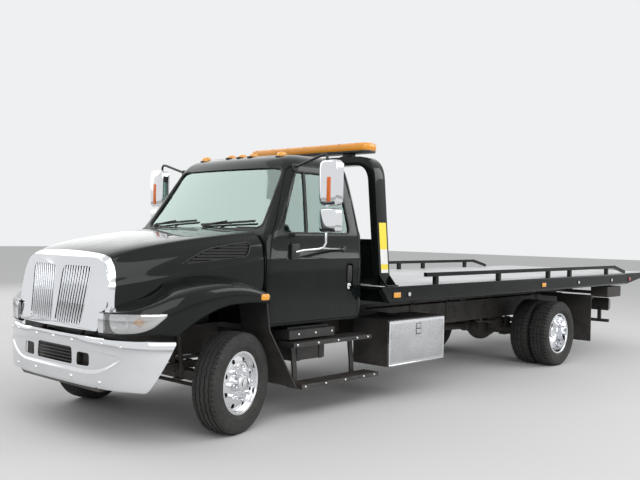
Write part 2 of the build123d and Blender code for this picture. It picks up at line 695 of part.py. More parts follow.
grille_back_x = hood_front_x + seat_gap
grille_reach = (hood_front_x - 20, front_x + 1100)
arch_points = [(front_x + x, z) for x, z in arch_side]
lamp_inner_y = 691
bonnet_outer = bonnet(0, hood_bottom_z)
bonnet_inner = bonnet(hood_wall, hood_bottom_z - 10)
fender_outer = fender(0)
fender_inner = fender(hood_wall)
lamp_skin = fender_outer - fender(45)
with BuildPart() as hood:
    add(bonnet_outer)
    add(fender_outer)
    add(mirror(fender_outer, about=Plane.XZ, mode=Mode.PRIVATE))
    add(bonnet_inner, mode=Mode.SUBTRACT)
    add(fender_inner, mode=Mode.SUBTRACT)
    add(mirror(fender_inner, about=Plane.XZ, mode=Mode.PRIVATE), mode=Mode.SUBTRACT)
    add(side_prism(arch_points, (-side_reach, side_reach)), mode=Mode.SUBTRACT)
    block((hood_front_x - 60, hood_front_x + 10), (-430, 430), (hood_bottom_z + 20, 1360), mode=Mode.SUBTRACT)
    add(front_prism(surround_outline(1), (hood_front_x, front_x + 1100)), mode=Mode.SUBTRACT)
    for side in (-1, 1):
        add(side_prism(lamp_outline(seat_gap), sorted((side * lamp_inner_y, side * side_reach))),
            mode=Mode.SUBTRACT)
        add(side_prism([(hood_front_x - 28, hood_bottom_z + 22), (hood_front_x - 28, 830),
                        (hood_pivot_x - 22, 782),
                        (hood_pivot_x + 18, 782), (hood_pivot_x + 18, 820), (hood_front_x, 850),
                        (hood_front_x, hood_bottom_z + 22)],
                       sorted((side * (hood_arm_y - 18), side * (hood_arm_y + 18)))))
        bar((hood_pivot_x, side * (hood_arm_y - 30), hood_pivot_z),
            (hood_pivot_x, side * (hood_arm_y + 30), hood_pivot_z),
            pivot_pin_radius + 0.05, mode=Mode.SUBTRACT)
save(hood.part, "hood")

with BuildPart() as headlamps:
    add(lamp_skin & side_prism(lamp_outline(0), (lamp_inner_y + seat_gap, side_reach)))
    mirror(about=Plane.XZ)
save(headlamps.part, "headlamps")

# Grille: a bright surround with two openings ahead of the bonnet, upright bars in each, two ties behind
grille_bar_count = 12
grille_bar_wide = 13
with BuildPart() as grille_surround:
    add(side_prism([(grille_back_x, 879), (front_x + 1032, 879), (front_x + 985, 1433),
                    (grille_back_x, 1433)], (-700, 700))
        & front_prism(surround_outline(0), grille_reach))
    for side in (-1, 1):
        add(front_prism(grille_opening(0, side), grille_reach), mode=Mode.SUBTRACT)
save(grille_surround.part, "grille_surround")
with BuildPart() as grille_bars:
    for side in (-1, 1):
        opening = front_prism(grille_opening(seat_gap, side), grille_reach)
        for index in range(grille_bar_count):
            share = (index + 0.5) / grille_bar_count
            low_y = side * (62 + share * 313)
            high_y = side * (105 + share * 320)
            upright = front_prism([(low_y - grille_bar_wide / 2, 950), (low_y + grille_bar_wide / 2, 950),
                                   (high_y + grille_bar_wide / 2, 1360),
                                   (high_y - grille_bar_wide / 2, 1360)],
                                  (grille_back_x + 5, front_x + 995))
            add(upright & opening)
        for tie_z in (1060, 1250):
            add(front_prism([(side * 50, tie_z), (side * 440, tie_z), (side * 440, tie_z + 12),
                             (side * 50, tie_z + 12)],
                            (grille_back_x + 1, grille_back_x + 8)) & opening)
save(grille_bars.part, "grille_bars")

# Steps under the doors, the battery box and fuel tank behind them, and the toolboxes
step_outer_y = cab_half_width + 110
step_front_x = front_x - 640
step_rear_x = front_x - 1730
box_outer_y = cab_half_width + 40
with BuildPart() as cab_steps:
    for step_z, ahead in ((660, 0), (280, -110)):
        block((step_rear_x + ahead, step_front_x + ahead), (step_outer_y - 190, step_outer_y),
              (step_z, step_z + 40))
    for leg_x in (step_front_x - 160, step_rear_x + 140):
        block((leg_x - 25, leg_x + 25), (step_outer_y - 190, step_outer_y - 165), (280, 700))
        block((leg_x - 25, leg_x + 25), (rail_outer_y + seat_gap, step_outer_y - 165), (690, 720))
    mirror(about=Plane.XZ)
save(cab_steps.part, "cab_steps")
box_inner_y = rail_outer_y + seat_gap
with BuildPart() as battery_box:
    block((front_x - 1260, front_x - 830), (box_inner_y, step_outer_y - 195), (500, 688))
    block((front_x - 1260, front_x - 660), (box_inner_y, box_outer_y), (722, 800))
save(battery_box.part, "battery_box")
with BuildPart() as fuel_tank:
    block((front_x - 1560, front_x - 830), (-(step_outer_y - 195), -box_inner_y), (400, 688))
    fillet(fuel_tank.edges().filter_by(Axis.X), 60)
save(fuel_tank.part, "fuel_tank")

toolbox_x = (front_x - 2846, front_x - 1890)
toolbox_z = (370, 820)
toolbox_y = (735, 1180)
toolbox_wall = 15
toolbox_door_thick = 22
with BuildPart() as toolboxes:
    block(toolbox_x, toolbox_y, toolbox_z)
    block((toolbox_x[0] + toolbox_wall, toolbox_x[1] - toolbox_wall),
          (toolbox_y[0] + toolbox_wall, toolbox_y[1] + 5),
          (toolbox_z[0] + toolbox_wall, toolbox_z[1] - toolbox_wall), mode=Mode.SUBTRACT)
    for bracket_x in (toolbox_x[0] + 150, toolbox_x[1] - 150):
        block((bracket_x - 30, bracket_x + 30), (rail_outer_y + seat_gap, toolbox_y[0]), (620, 800))
    mirror(about=Plane.XZ)
save(toolboxes.part, "toolboxes")
toolbox_hinge_z = toolbox_z[0] + 6
toolbox_hinge_y = toolbox_y[1] + toolbox_door_thick / 2
with BuildPart() as toolbox_door:
    block((toolbox_x[0] + 4, toolbox_x[1] - 4),
          (toolbox_y[1] + running_gap, toolbox_y[1] + toolbox_door_thick),
          (toolbox_z[0] + 4, toolbox_z[1] - 4))
    block((front_x - 2420, front_x - 2316), (toolbox_y[1] + 20, toolbox_y[1] + 30), (650, 785))
    bar((toolbox_x[0] + 4, toolbox_hinge_y, toolbox_hinge_z),
        (toolbox_x[1] - 4, toolbox_hinge_y, toolbox_hinge_z), 10.5)
for side_name, body in (("left", toolbox_door.part), ("right", mirror(toolbox_door.part, about=Plane.XZ))):
    save(body, f"toolbox_door_{side_name}")

# Mud flaps: a sloping liner behind each front wheel, a hanging flap behind each rear pair
flap_thick = 14
flap_outer_y = deck_half_width - 20
with BuildPart() as mudflaps:
    add(side_prism([(front_x - 322, 1070), (front_x - 360, 830), (front_x - 700, 300), (front_x - 714, 300),
                    (front_x - 376, 830), (front_x - 338, 1070)], (740, 1095)))
    block((front_x - 400, front_x - 352), (rail_outer_y + seat_gap, 760), (760, 800))
    flap_x = behind(6450)
    block((flap_x - flap_thick / 2, flap_x + flap_thick / 2), (690, flap_outer_y), (240, 880))
    block((flap_x - 60, flap_x - flap_thick / 2), (rail_outer_y + seat_gap, flap_outer_y), (830, 880))
    mirror(about=Plane.XZ)
save(mudflaps.part, "mudflaps")

# Exhaust: silencer under the right side and a tail pipe
with BuildPart() as exhaust:
    bar((front_x - 1900, -600, 505), (front_x - 2900, -600, 505), 100)
    bar((front_x - 2890, -600, 505), (front_x - 3500, -600, 505), 48)
    block((front_x - 2440, front_x - 2380), (-600, -rail_outer_y - seat_gap), (600, 680))
save(exhaust.part, "exhaust")

# Marker lamps along the front of the roof
roof_lamp_top = 2440
with BuildPart() as roof_lamps:
    for lamp_y in (-560, -160, 0, 160, 560):
        block((windscreen_head_x - 245, windscreen_head_x - 135), (lamp_y - 25, lamp_y + 25),
              (2360, roof_lamp_top))
    add(cab_envelope(-seat_gap), mode=Mode.SUBTRACT)
save(roof_lamps.part, "roof_lamps")

# Rear guard: a low bar on hangers behind the frame, with the plate holder
guard_x = behind(7580)
with BuildPart() as rear_guard:
    block((guard_x - 25, guard_x + 25), (-970, 970), (410, 455))
    add(side_prism([(frame_rear_x + 120, 590), (frame_rear_x + 120, 590 - seat_gap), (guard_x - 20, 412),
                    (guard_x - 20, 454), (frame_rear_x - 60, 640), (frame_rear_x - seat_gap, 640),
                    (frame_rear_x - seat_gap, 590 + seat_gap), (frame_rear_x + 100, 590)],
                   (rail_inner_y, rail_outer_y)))
    mirror(about=Plane.XZ)
save(rear_guard.part, "rear_guard")

# Tilt frame: two box rails on the ladder frame, low cross members, pivot plates at the rear
tilt_inner_y = rail_outer_y - tilt_rail_wide
tilt_stations = (tilt_front_x - 60, front_x - 3600, front_x - 5200, behind(6300), behind(7060))
with BuildPart() as tilt_frame:
    block((tilt_rear_x, tilt_front_x), (tilt_inner_y, rail_outer_y), (tilt_rail_bottom, tilt_rail_top))
    block((tilt_rear_x - 1, tilt_front_x + 1), (tilt_inner_y + 8, rail_outer_y - 8),
          (tilt_rail_bottom + 8, tilt_rail_top - 8), mode=Mode.SUBTRACT)
    block((tilt_pivot_x - 70, tilt_pivot_x + 70), (rail_inner_y - 72, rail_inner_y - 12),
          (tilt_pivot_z - 60, tilt_cross_top))
    block((behind(7460), behind(7000)), (deck_half_width - 280, deck_half_width - 25),
          (825, deck_bottom_z - 25))
    mirror(about=Plane.XZ)
    for station in tilt_stations:
        block((station - 35, station + 35), (12 - rail_inner_y, rail_inner_y - 12),
              (tilt_cross_bottom, tilt_cross_top))
        block((station - 35, station + 35), (-tilt_inner_y - 4, tilt_inner_y + 4),
              (tilt_rail_bottom + 2, tilt_cross_top))
    block((behind(7300), behind(7230)), (220 - deck_half_width, deck_half_width - 220),
          (tilt_rail_bottom - 20, tilt_cross_top + 10))
    for side_y in (-tilt_cylinder_y, tilt_cylinder_y):
        for lug_y in (side_y - 42, side_y + 42):
            block((tilt_eye_x - 75, front_x - 3600), (lug_y - 6, lug_y + 6),
                  (tilt_eye_z - 60, tilt_eye_z + 50))
    bar((tilt_pivot_x, -rail_inner_y, tilt_pivot_z), (tilt_pivot_x, rail_inner_y, tilt_pivot_z),
        pivot_radius + 0.05,
        mode=Mode.SUBTRACT)
save(tilt_frame.part, "tilt_frame")

# Slide cylinder: a long barrel on the tilt frame, its rod under the deck
with BuildPart() as slide_barrel:
    bar((slide_base_x, 0, slide_z), (front_x - 2200, 0, slide_z), slide_barrel_radius)
    bar((slide_base_x - 10, 0, slide_z), (front_x - 2240, 0, slide_z), slide_bore, mode=Mode.SUBTRACT)
    for station in tilt_stations[:4]:
        block((station - 30, station + 30), (-40, 40), (tilt_cross_top + seat_gap, slide_z - slide_bore - 3))
save(slide_barrel.part, "slide_barrel")
with BuildPart() as slide_rod:
    bar((slide_eye_x, 0, slide_z), (front_x - 2260, 0, slide_z), slide_rod_radius)
    bar((front_x - 2320, 0, slide_z), (front_x - 2260, 0, slide_z), slide_bore - seat_gap)
    block((slide_eye_x - 30, slide_eye_x + 30), (-40, 40), (slide_z - 35, deck_bottom_z - seat_gap))
save(slide_rod.part, "slide_rod")

# Tilt cylinders: both barrels turn on the ladder frame, both rods reach up to the tilt frame
barrel_run = Vector(tilt_eye_x - tilt_base_x, 0, tilt_eye_z - tilt_base_z)
lift_rise = degrees(atan2(barrel_run.Z, barrel_run.X))
lift_length = barrel_run.length
lift_barrel_length = 780
with BuildPart() as lift_barrel:
    bar((60, 0, 0), (lift_barrel_length, 0, 0), tilt_barrel_radius)
    bar((0, -28, 0), (0, 28, 0), 34)
    block((0, 80), (-28, 28), (-30, 30))
    bar((120, 0, 0), (lift_barrel_length + 5, 0, 0), tilt_rod_radius + 0.1, mode=Mode.SUBTRACT)
    bar((0, -40, 0), (0, 40, 0), base_pin_radius + 0.05, mode=Mode.SUBTRACT)
with BuildPart() as lift_rod:
    bar((140, 0, 0), (lift_length - 20, 0, 0), tilt_rod_radius)
    bar((lift_length, -28, 0), (lift_length, 28, 0), 36)
base_places = [Location((tilt_base_x, side * tilt_cylinder_y, tilt_base_z),
                        (0, -lift_rise, 0)) for side in (-1, 1)]
save(Compound([place * lift_barrel.part for place in base_places]), "tilt_barrels")
save(Compound([place * lift_rod.part for place in base_places]), "tilt_rods")

# Deck: floor, side channels, cross members, sills beside the tilt frame, and the tapered tail
deck_cross_count = 14
deck_cross_wide = 50
with BuildPart() as deck:
    block((tail_x, deck_front_x), (-deck_half_width, deck_half_width),
          (deck_top_z - deck_floor_thick, deck_top_z))
    for side in (-1, 1):
        add(side_prism([(tail_x, deck_top_z - tail_tip_thick), (tail_x, deck_top_z),
                        (deck_front_x + 40, deck_top_z),
                        (deck_front_x - 90, deck_bottom_z), (tail_taper_x, deck_bottom_z)],
                       sorted((side * (deck_half_width - deck_channel_wide), side * deck_half_width))))
        block((tail_taper_x + 60, deck_front_x - 200),
              sorted((side * deck_sill_y, side * (deck_sill_y + deck_sill_wide))),
              (deck_sill_bottom, deck_top_z - 5))
    for index in range(deck_cross_count):
        cross_x = deck_front_x - 130 - index * (deck_front_x - 130 - tail_taper_x - 60) / (deck_cross_count
                                                                                           - 1)
        block((cross_x - deck_cross_wide / 2, cross_x + deck_cross_wide / 2),
              (-deck_half_width + 10, deck_half_width - 10), (deck_bottom_z, deck_top_z - 5))
    for rib_y in (-800, -400, 0, 400, 800):
        add(side_prism([(tail_x + 5, deck_top_z - tail_tip_thick), (tail_x + 5, deck_top_z - 5),
                        (tail_taper_x + 60, deck_top_z - 5), (tail_taper_x + 60, deck_bottom_z),
                        (tail_taper_x, deck_bottom_z)], (rib_y - 6, rib_y + 6)))
save(deck.part, "deck")

# Side rails: a square tube on posts along each side, sloping down to the floor at the tail
rail_y = (deck_half_width - 50, deck_half_width - 8)
rail_tube_top = 1285
rail_post_offsets = (2674, 3948, 5172, 5776, 6939)
with BuildPart() as side_rails:
    add(side_prism([(front_x - 2486, rail_tube_top), (behind(7184), rail_tube_top),
                    (behind(7575), deck_top_z + 40),
                    (behind(7575), deck_top_z + seat_gap), (behind(7170), rail_tube_top - 44),
                    (front_x - 2486, rail_tube_top - 44)], rail_y))
    for back in rail_post_offsets:
        block((behind(back) - 30, behind(back) + 30), rail_y, (deck_top_z + seat_gap, rail_tube_top - 20))
    mirror(about=Plane.XZ)
save(side_rails.part, "side_rails")

# Headboard: an arch across the front of the deck with a low panel, and the light bar on it
arch_rear_x = arch_front_x - arch_depth
arch_foot_z = deck_top_z + seat_gap


def arch_outline(inset):
    """The arch seen from the front, shrunk by its tube to make the opening."""
    foot = arch_foot_y - inset
    head = arch_head_y - inset
    top = arch_top - inset
    corner = arch_corner - (inset and 40)
    low = arch_foot_z - (inset and 5)
    with BuildSketch(Plane.YZ.offset(arch_rear_x)) as sketch:
        with BuildLine():
            Polyline((-foot, low), (-head, top), (head, top), (foot, low), close=True)
        make_face()
        fillet(sketch.vertices().group_by(Axis.Y)[1] + sketch.vertices().group_by(Axis.Y)[-2], corner)
    return extrude(sketch.sketch, amount=arch_depth, dir=(1, 0, 0), mode=Mode.PRIVATE)


arch_body = arch_outline(0) - arch_outline(arch_tube)
with BuildPart() as headboard:
    add(arch_body)
    block((arch_rear_x + 40, arch_rear_x + 80), (75 - arch_foot_y, arch_foot_y - 75), (arch_foot_z, 1620))
    for side in (-1, 1):
        add(front_prism([(side * (arch_foot_y - 30), 1290), (side * (arch_foot_y + 85), arch_foot_z),
                         (side * (arch_foot_y - 30), arch_foot_z)],
                        (arch_rear_x, arch_rear_x + 12)))
save(headboard.part, "headboard")
with BuildPart() as light_bar:
    block((arch_rear_x - 30, arch_front_x + 20), (-light_bar_half, light_bar_half),
          (light_bar_bottom, light_bar_top))
    fillet(light_bar.edges().filter_by(Axis.Z), 60)
    for foot_y in (-560, 560):
        block((arch_rear_x + 20, arch_front_x - 20), (foot_y - 40, foot_y + 40),
              (arch_top + seat_gap, light_bar_bottom + 5))
save(light_bar.part, "light_bar")

# Winch behind the headboard: drum with its rope, side plates, gearbox and base
winch_x = arch_rear_x - 260
winch_z = deck_top_z + 160
with BuildPart() as winch:
    block((winch_x - 130, winch_x + 130), (-330, 330), (deck_top_z + seat_gap, deck_top_z + 20))
    bar((winch_x, -300, winch_z), (winch_x, 300, winch_z), 85)
    for plate_y in (-225, 225):
        block((winch_x - 120, winch_x + 120), (plate_y - 10, plate_y + 10), (deck_top_z + 10, winch_z + 110))
    block((winch_x - 100, winch_x + 100), (-330, -225), (deck_top_z + 10, winch_z + 100))
save(winch.part, "winch")

# Deck lamps: amber, white and red dots along each side channel
# columns: behind the axle, length, height
deck_lamp_table = ((1969, 60, 30), (2171, 40, 40), (5004, 90, 30), (5991, 40, 40), (7063, 40, 40),
                   (7700, 60, 50))
with BuildPart() as deck_lamps:
    for back, long, high in deck_lamp_table:
        block((behind(back) - long / 2, behind(back) + long / 2),
              (deck_half_width + seat_gap, deck_half_width + 12), (1075 - high / 2, 1075 + high / 2))
    mirror(about=Plane.XZ)
save(deck_lamps.part, "deck_lamps")
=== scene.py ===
"""Looks of the flatbed tow truck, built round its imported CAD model.

Metres in the shared frame: +X forward, +Y to the truck's left, +Z up. The tables give X from the front axle,
and each piece is moved by AXLE_X when its mesh is made.
"""
from contextlib import contextmanager
from math import cos, hypot, pi, radians, sin

import bmesh
import bpy
from mathutils import Matrix, Vector


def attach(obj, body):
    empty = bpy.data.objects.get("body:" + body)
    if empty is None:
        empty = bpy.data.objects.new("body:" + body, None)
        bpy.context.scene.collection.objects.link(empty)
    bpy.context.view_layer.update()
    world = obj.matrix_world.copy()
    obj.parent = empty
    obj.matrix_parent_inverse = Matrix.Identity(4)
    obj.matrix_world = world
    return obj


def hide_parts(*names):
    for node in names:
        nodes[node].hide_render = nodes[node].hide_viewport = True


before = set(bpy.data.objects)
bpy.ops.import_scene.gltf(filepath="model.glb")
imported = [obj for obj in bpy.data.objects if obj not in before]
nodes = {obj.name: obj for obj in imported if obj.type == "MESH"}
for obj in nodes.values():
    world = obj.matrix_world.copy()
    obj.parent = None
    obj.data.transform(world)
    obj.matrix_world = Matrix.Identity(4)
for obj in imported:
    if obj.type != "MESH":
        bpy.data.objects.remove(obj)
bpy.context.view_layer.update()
AXLE_X = 3.705
WHEELBASE = 5.510
WHEEL_Z = 0.420
STEER = radians(15)
KINGPIN_Y = 0.860
KINGPIN_TO_WHEEL = 0.140
SIDES = ((1, "left"), (-1, "right"))
FRAME_FACE = 0.4325
UP = Vector((0, 0, 1))
LEFT = Vector((0, 1, 0))


# Materials

class Nodes:
    """A node tree with short calls for the nodes that the materials use."""

    def __init__(self, name):
        self.material = bpy.data.materials.new(name)
        self.material.use_nodes = True
        self.tree = self.material.node_tree
        self.shader = self.tree.nodes["Principled BSDF"]
        self.coords = self.tree.nodes.new("ShaderNodeTexCoord").outputs["Object"]

    def put(self, socket, value):
        if hasattr(value, "is_output") or isinstance(value, bpy.types.NodeSocket):
            self.tree.links.new(value, socket)
        else:
            socket.default_value = value

    def math(self, operation, first, second=0.0, third=0.0, clamp=False):
        node = self.tree.nodes.new("ShaderNodeMath")
        node.operation = operation
        node.use_clamp = clamp
        for socket, value in zip(node.inputs, (first, second, third)):
            self.put(socket, value)
        return node.outputs[0]

    def stretch(self, scale, turn=(0, 0, 0)):
        node = self.tree.nodes.new("ShaderNodeMapping")
        self.put(node.inputs["Vector"], self.coords)
        node.inputs["Scale"].default_value = scale
        node.inputs["Rotation"].default_value = turn
        return node.outputs[0]

    def noise(self, scale, detail=4.0, rough=0.55, vector=None):
        node = self.tree.nodes.new("ShaderNodeTexNoise")
        self.put(node.inputs["Vector"], vector if vector is not None else self.coords)
        node.inputs["Scale"].default_value = scale
        node.inputs["Detail"].default_value = detail
        node.inputs["Roughness"].default_value = rough
        return node.outputs["Fac"]

    def span(self, value, low, high, out_low, out_high):
        node = self.tree.nodes.new("ShaderNodeMapRange")
        self.put(node.inputs["Value"], value)
        for name, number in (("From Min", low), ("From Max", high), ("To Min", out_low),
                             ("To Max", out_high)):
            node.inputs[name].default_value = number
        return node.outputs["Result"]

    def blend(self, factor, first, second):
        node = self.tree.nodes.new("ShaderNodeMix")
        node.data_type = "RGBA"
        self.put(node.inputs["Factor"], factor)
        for name, value in (("A", first), ("B", second)):
            socket = [s for s in node.inputs if s.name == name and s.type == "RGBA"][0]
            self.put(socket, (*value, 1.0) if isinstance(value, tuple) else value)
        return [s for s in node.outputs if s.type == "RGBA"][0]

    def axis(self, letter):
        node = self.tree.nodes.new("ShaderNodeSeparateXYZ")
        self.put(node.inputs[0], self.coords)
        return node.outputs[letter]

    def bump(self, height, strength, distance=0.001, under=None):
        node = self.tree.nodes.new("ShaderNodeBump")
        node.inputs["Strength"].default_value = strength
        node.inputs["Distance"].default_value = distance
        self.put(node.inputs["Height"], height)
        if under is not None:
            self.put(node.inputs["Normal"], under)
        return node.outputs["Normal"]


def shaded(base, scale):
    """A lighter or darker tone of a colour."""
    return tuple(min(1.0, channel * scale) for channel in base)


def surface(name, base, metallic=0.0, rough=(0.3, 0.45), tint=0.12, tint_scale=3.0, grain=0.05,
            grain_scale=140.0,
            grain_depth=0.0006, dust=0.0, dust_top=1.1, dust_colour=(0.20, 0.175, 0.145), coat=0.0,
            stretch=None,
            pattern=None, pattern_depth=0.002, pattern_strength=0.6, specular=0.5):
    """A finished surface: mottled colour, uneven gloss, fine grain and, low down, road dust."""
    n = Nodes(name)
    cloud = n.noise(tint_scale)
    colour = n.blend(n.span(cloud, 0.3, 0.7, 0.0, 1.0), shaded(base, 1 - tint), shaded(base, 1 + tint))
    fine = n.noise(grain_scale, 3.0, 0.6, n.stretch(stretch) if stretch else None)
    gloss = n.span(n.noise(tint_scale * 2.6, 5.0), 0.3, 0.7, rough[0], rough[1])
    if dust:
        height = n.span(n.axis("Z"), dust_top, 0.15, 0.0, dust)
        amount = n.math("MULTIPLY", height, n.span(n.noise(5.0, 8.0, 0.7), 0.35, 0.65, 0.25, 1.0), clamp=True)
        colour = n.blend(amount, colour, dust_colour)
        gloss = n.math("MAXIMUM", gloss, n.math("MULTIPLY", amount, 0.8))
    normal = n.bump(fine, grain, grain_depth)
    if pattern:
        normal = n.bump(pattern(n), pattern_strength, pattern_depth, normal)
    n.put(n.shader.inputs["Base Color"], colour)
    n.put(n.shader.inputs["Roughness"], gloss)
    n.put(n.shader.inputs["Normal"], normal)
    n.shader.inputs["Metallic"].default_value = metallic
    n.shader.inputs["Coat Weight"].default_value = coat
    n.shader.inputs["Coat Roughness"].default_value = 0.03
    n.shader.inputs["Coat IOR"].default_value = 1.36
    n.shader.inputs["Specular IOR Level"].default_value = specular
    return n.material


def lozenges(first, second, cell):
    """Raised lozenges, each turned across its neighbours, as on tread plate."""
    def height(n):
        u = n.math("DIVIDE", n.axis(first), cell)
        v = n.math("DIVIDE", n.axis(second), cell)
        x = n.math("SUBTRACT", n.math("FRACT", u), 0.5)
        y = n.math("SUBTRACT", n.math("FRACT", v), 0.5)
        odd = n.math("MODULO", n.math("ABSOLUTE", n.math("ADD", n.math("FLOOR", u), n.math("FLOOR", v))), 2.0)
        side = n.math("SUBTRACT", n.math("MULTIPLY", odd, 2.0), 1.0)
        along = n.math("ADD", x, n.math("MULTIPLY", y, side))
        across = n.math("SUBTRACT", x, n.math("MULTIPLY", y, side))
        far = n.math("ADD", n.math("POWER", n.math("MULTIPLY", along, 1.5), 2.0),
                     n.math("POWER", n.math("MULTIPLY", across, 5.5), 2.0))
        return n.span(far, 0.25, 0.75, 1.0, 0.0)
    return height


def ribs(letter, pitch):
    """Even round ribs along one axis, as moulded inside a lamp lens."""
    def height(n):
        return n.math("SINE", n.math("MULTIPLY", n.axis(letter), 2 * pi / pitch))
    return height


def squares(first, second, cell):
    """A woven grid of small squares, as in seat cloth."""
    def height(n):
        u = n.math("SINE", n.math("MULTIPLY", n.axis(first), 2 * pi / cell))
        v = n.math("SINE", n.math("MULTIPLY", n.axis(second), 2 * pi / cell))
        return n.math("MULTIPLY", u, v)
    return height


def clear_gloss(name, clear, gloss, share, fresnel_share, rough=(0.015, 0.06), wave=0.05):
    """Glass or clear moulding: see-through, with a mirror-like share that grows at a glance, and smears."""
    n = Nodes(name)
    out = n.tree.nodes["Material Output"]
    through = n.tree.nodes.new("ShaderNodeBsdfTransparent")
    mirror_like = n.tree.nodes.new("ShaderNodeBsdfGlossy")
    mix = n.tree.nodes.new("ShaderNodeMixShader")
    fresnel = n.tree.nodes.new("ShaderNodeFresnel")
    fresnel.inputs["IOR"].default_value = 1.52
    n.put(through.inputs["Color"], n.blend(n.noise(2.0), shaded(clear, 0.95), shaded(clear, 1.05)))
    mirror_like.inputs["Color"].default_value = (*gloss, 1.0)
    n.put(mirror_like.inputs["Roughness"], n.span(n.noise(9.0), 0.3, 0.7, *rough))
    n.put(mirror_like.inputs["Normal"], n.bump(n.noise(1.3, 2.0), wave, 0.004))
    n.put(mix.inputs[0], n.math("ADD", n.math("MULTIPLY", fresnel.outputs[0], fresnel_share), share,
                                clamp=True))
    n.put(mix.inputs[1], through.outputs[0])
    n.put(mix.inputs[2], mirror_like.outputs[0])
    n.put(out.inputs["Surface"], mix.outputs[0])
    return n.material


def lens(name, base, pitch, letter="Z", through=0.35):
    """A moulded lamp lens."""
    made = surface(name, base, rough=(0.05, 0.12), tint=0.06, grain=0.02, pattern=ribs(letter, pitch),
                   pattern_depth=0.0015, pattern_strength=0.35, coat=0.6)
    made.node_tree.nodes["Principled BSDF"].inputs["Transmission Weight"].default_value = through
    return made


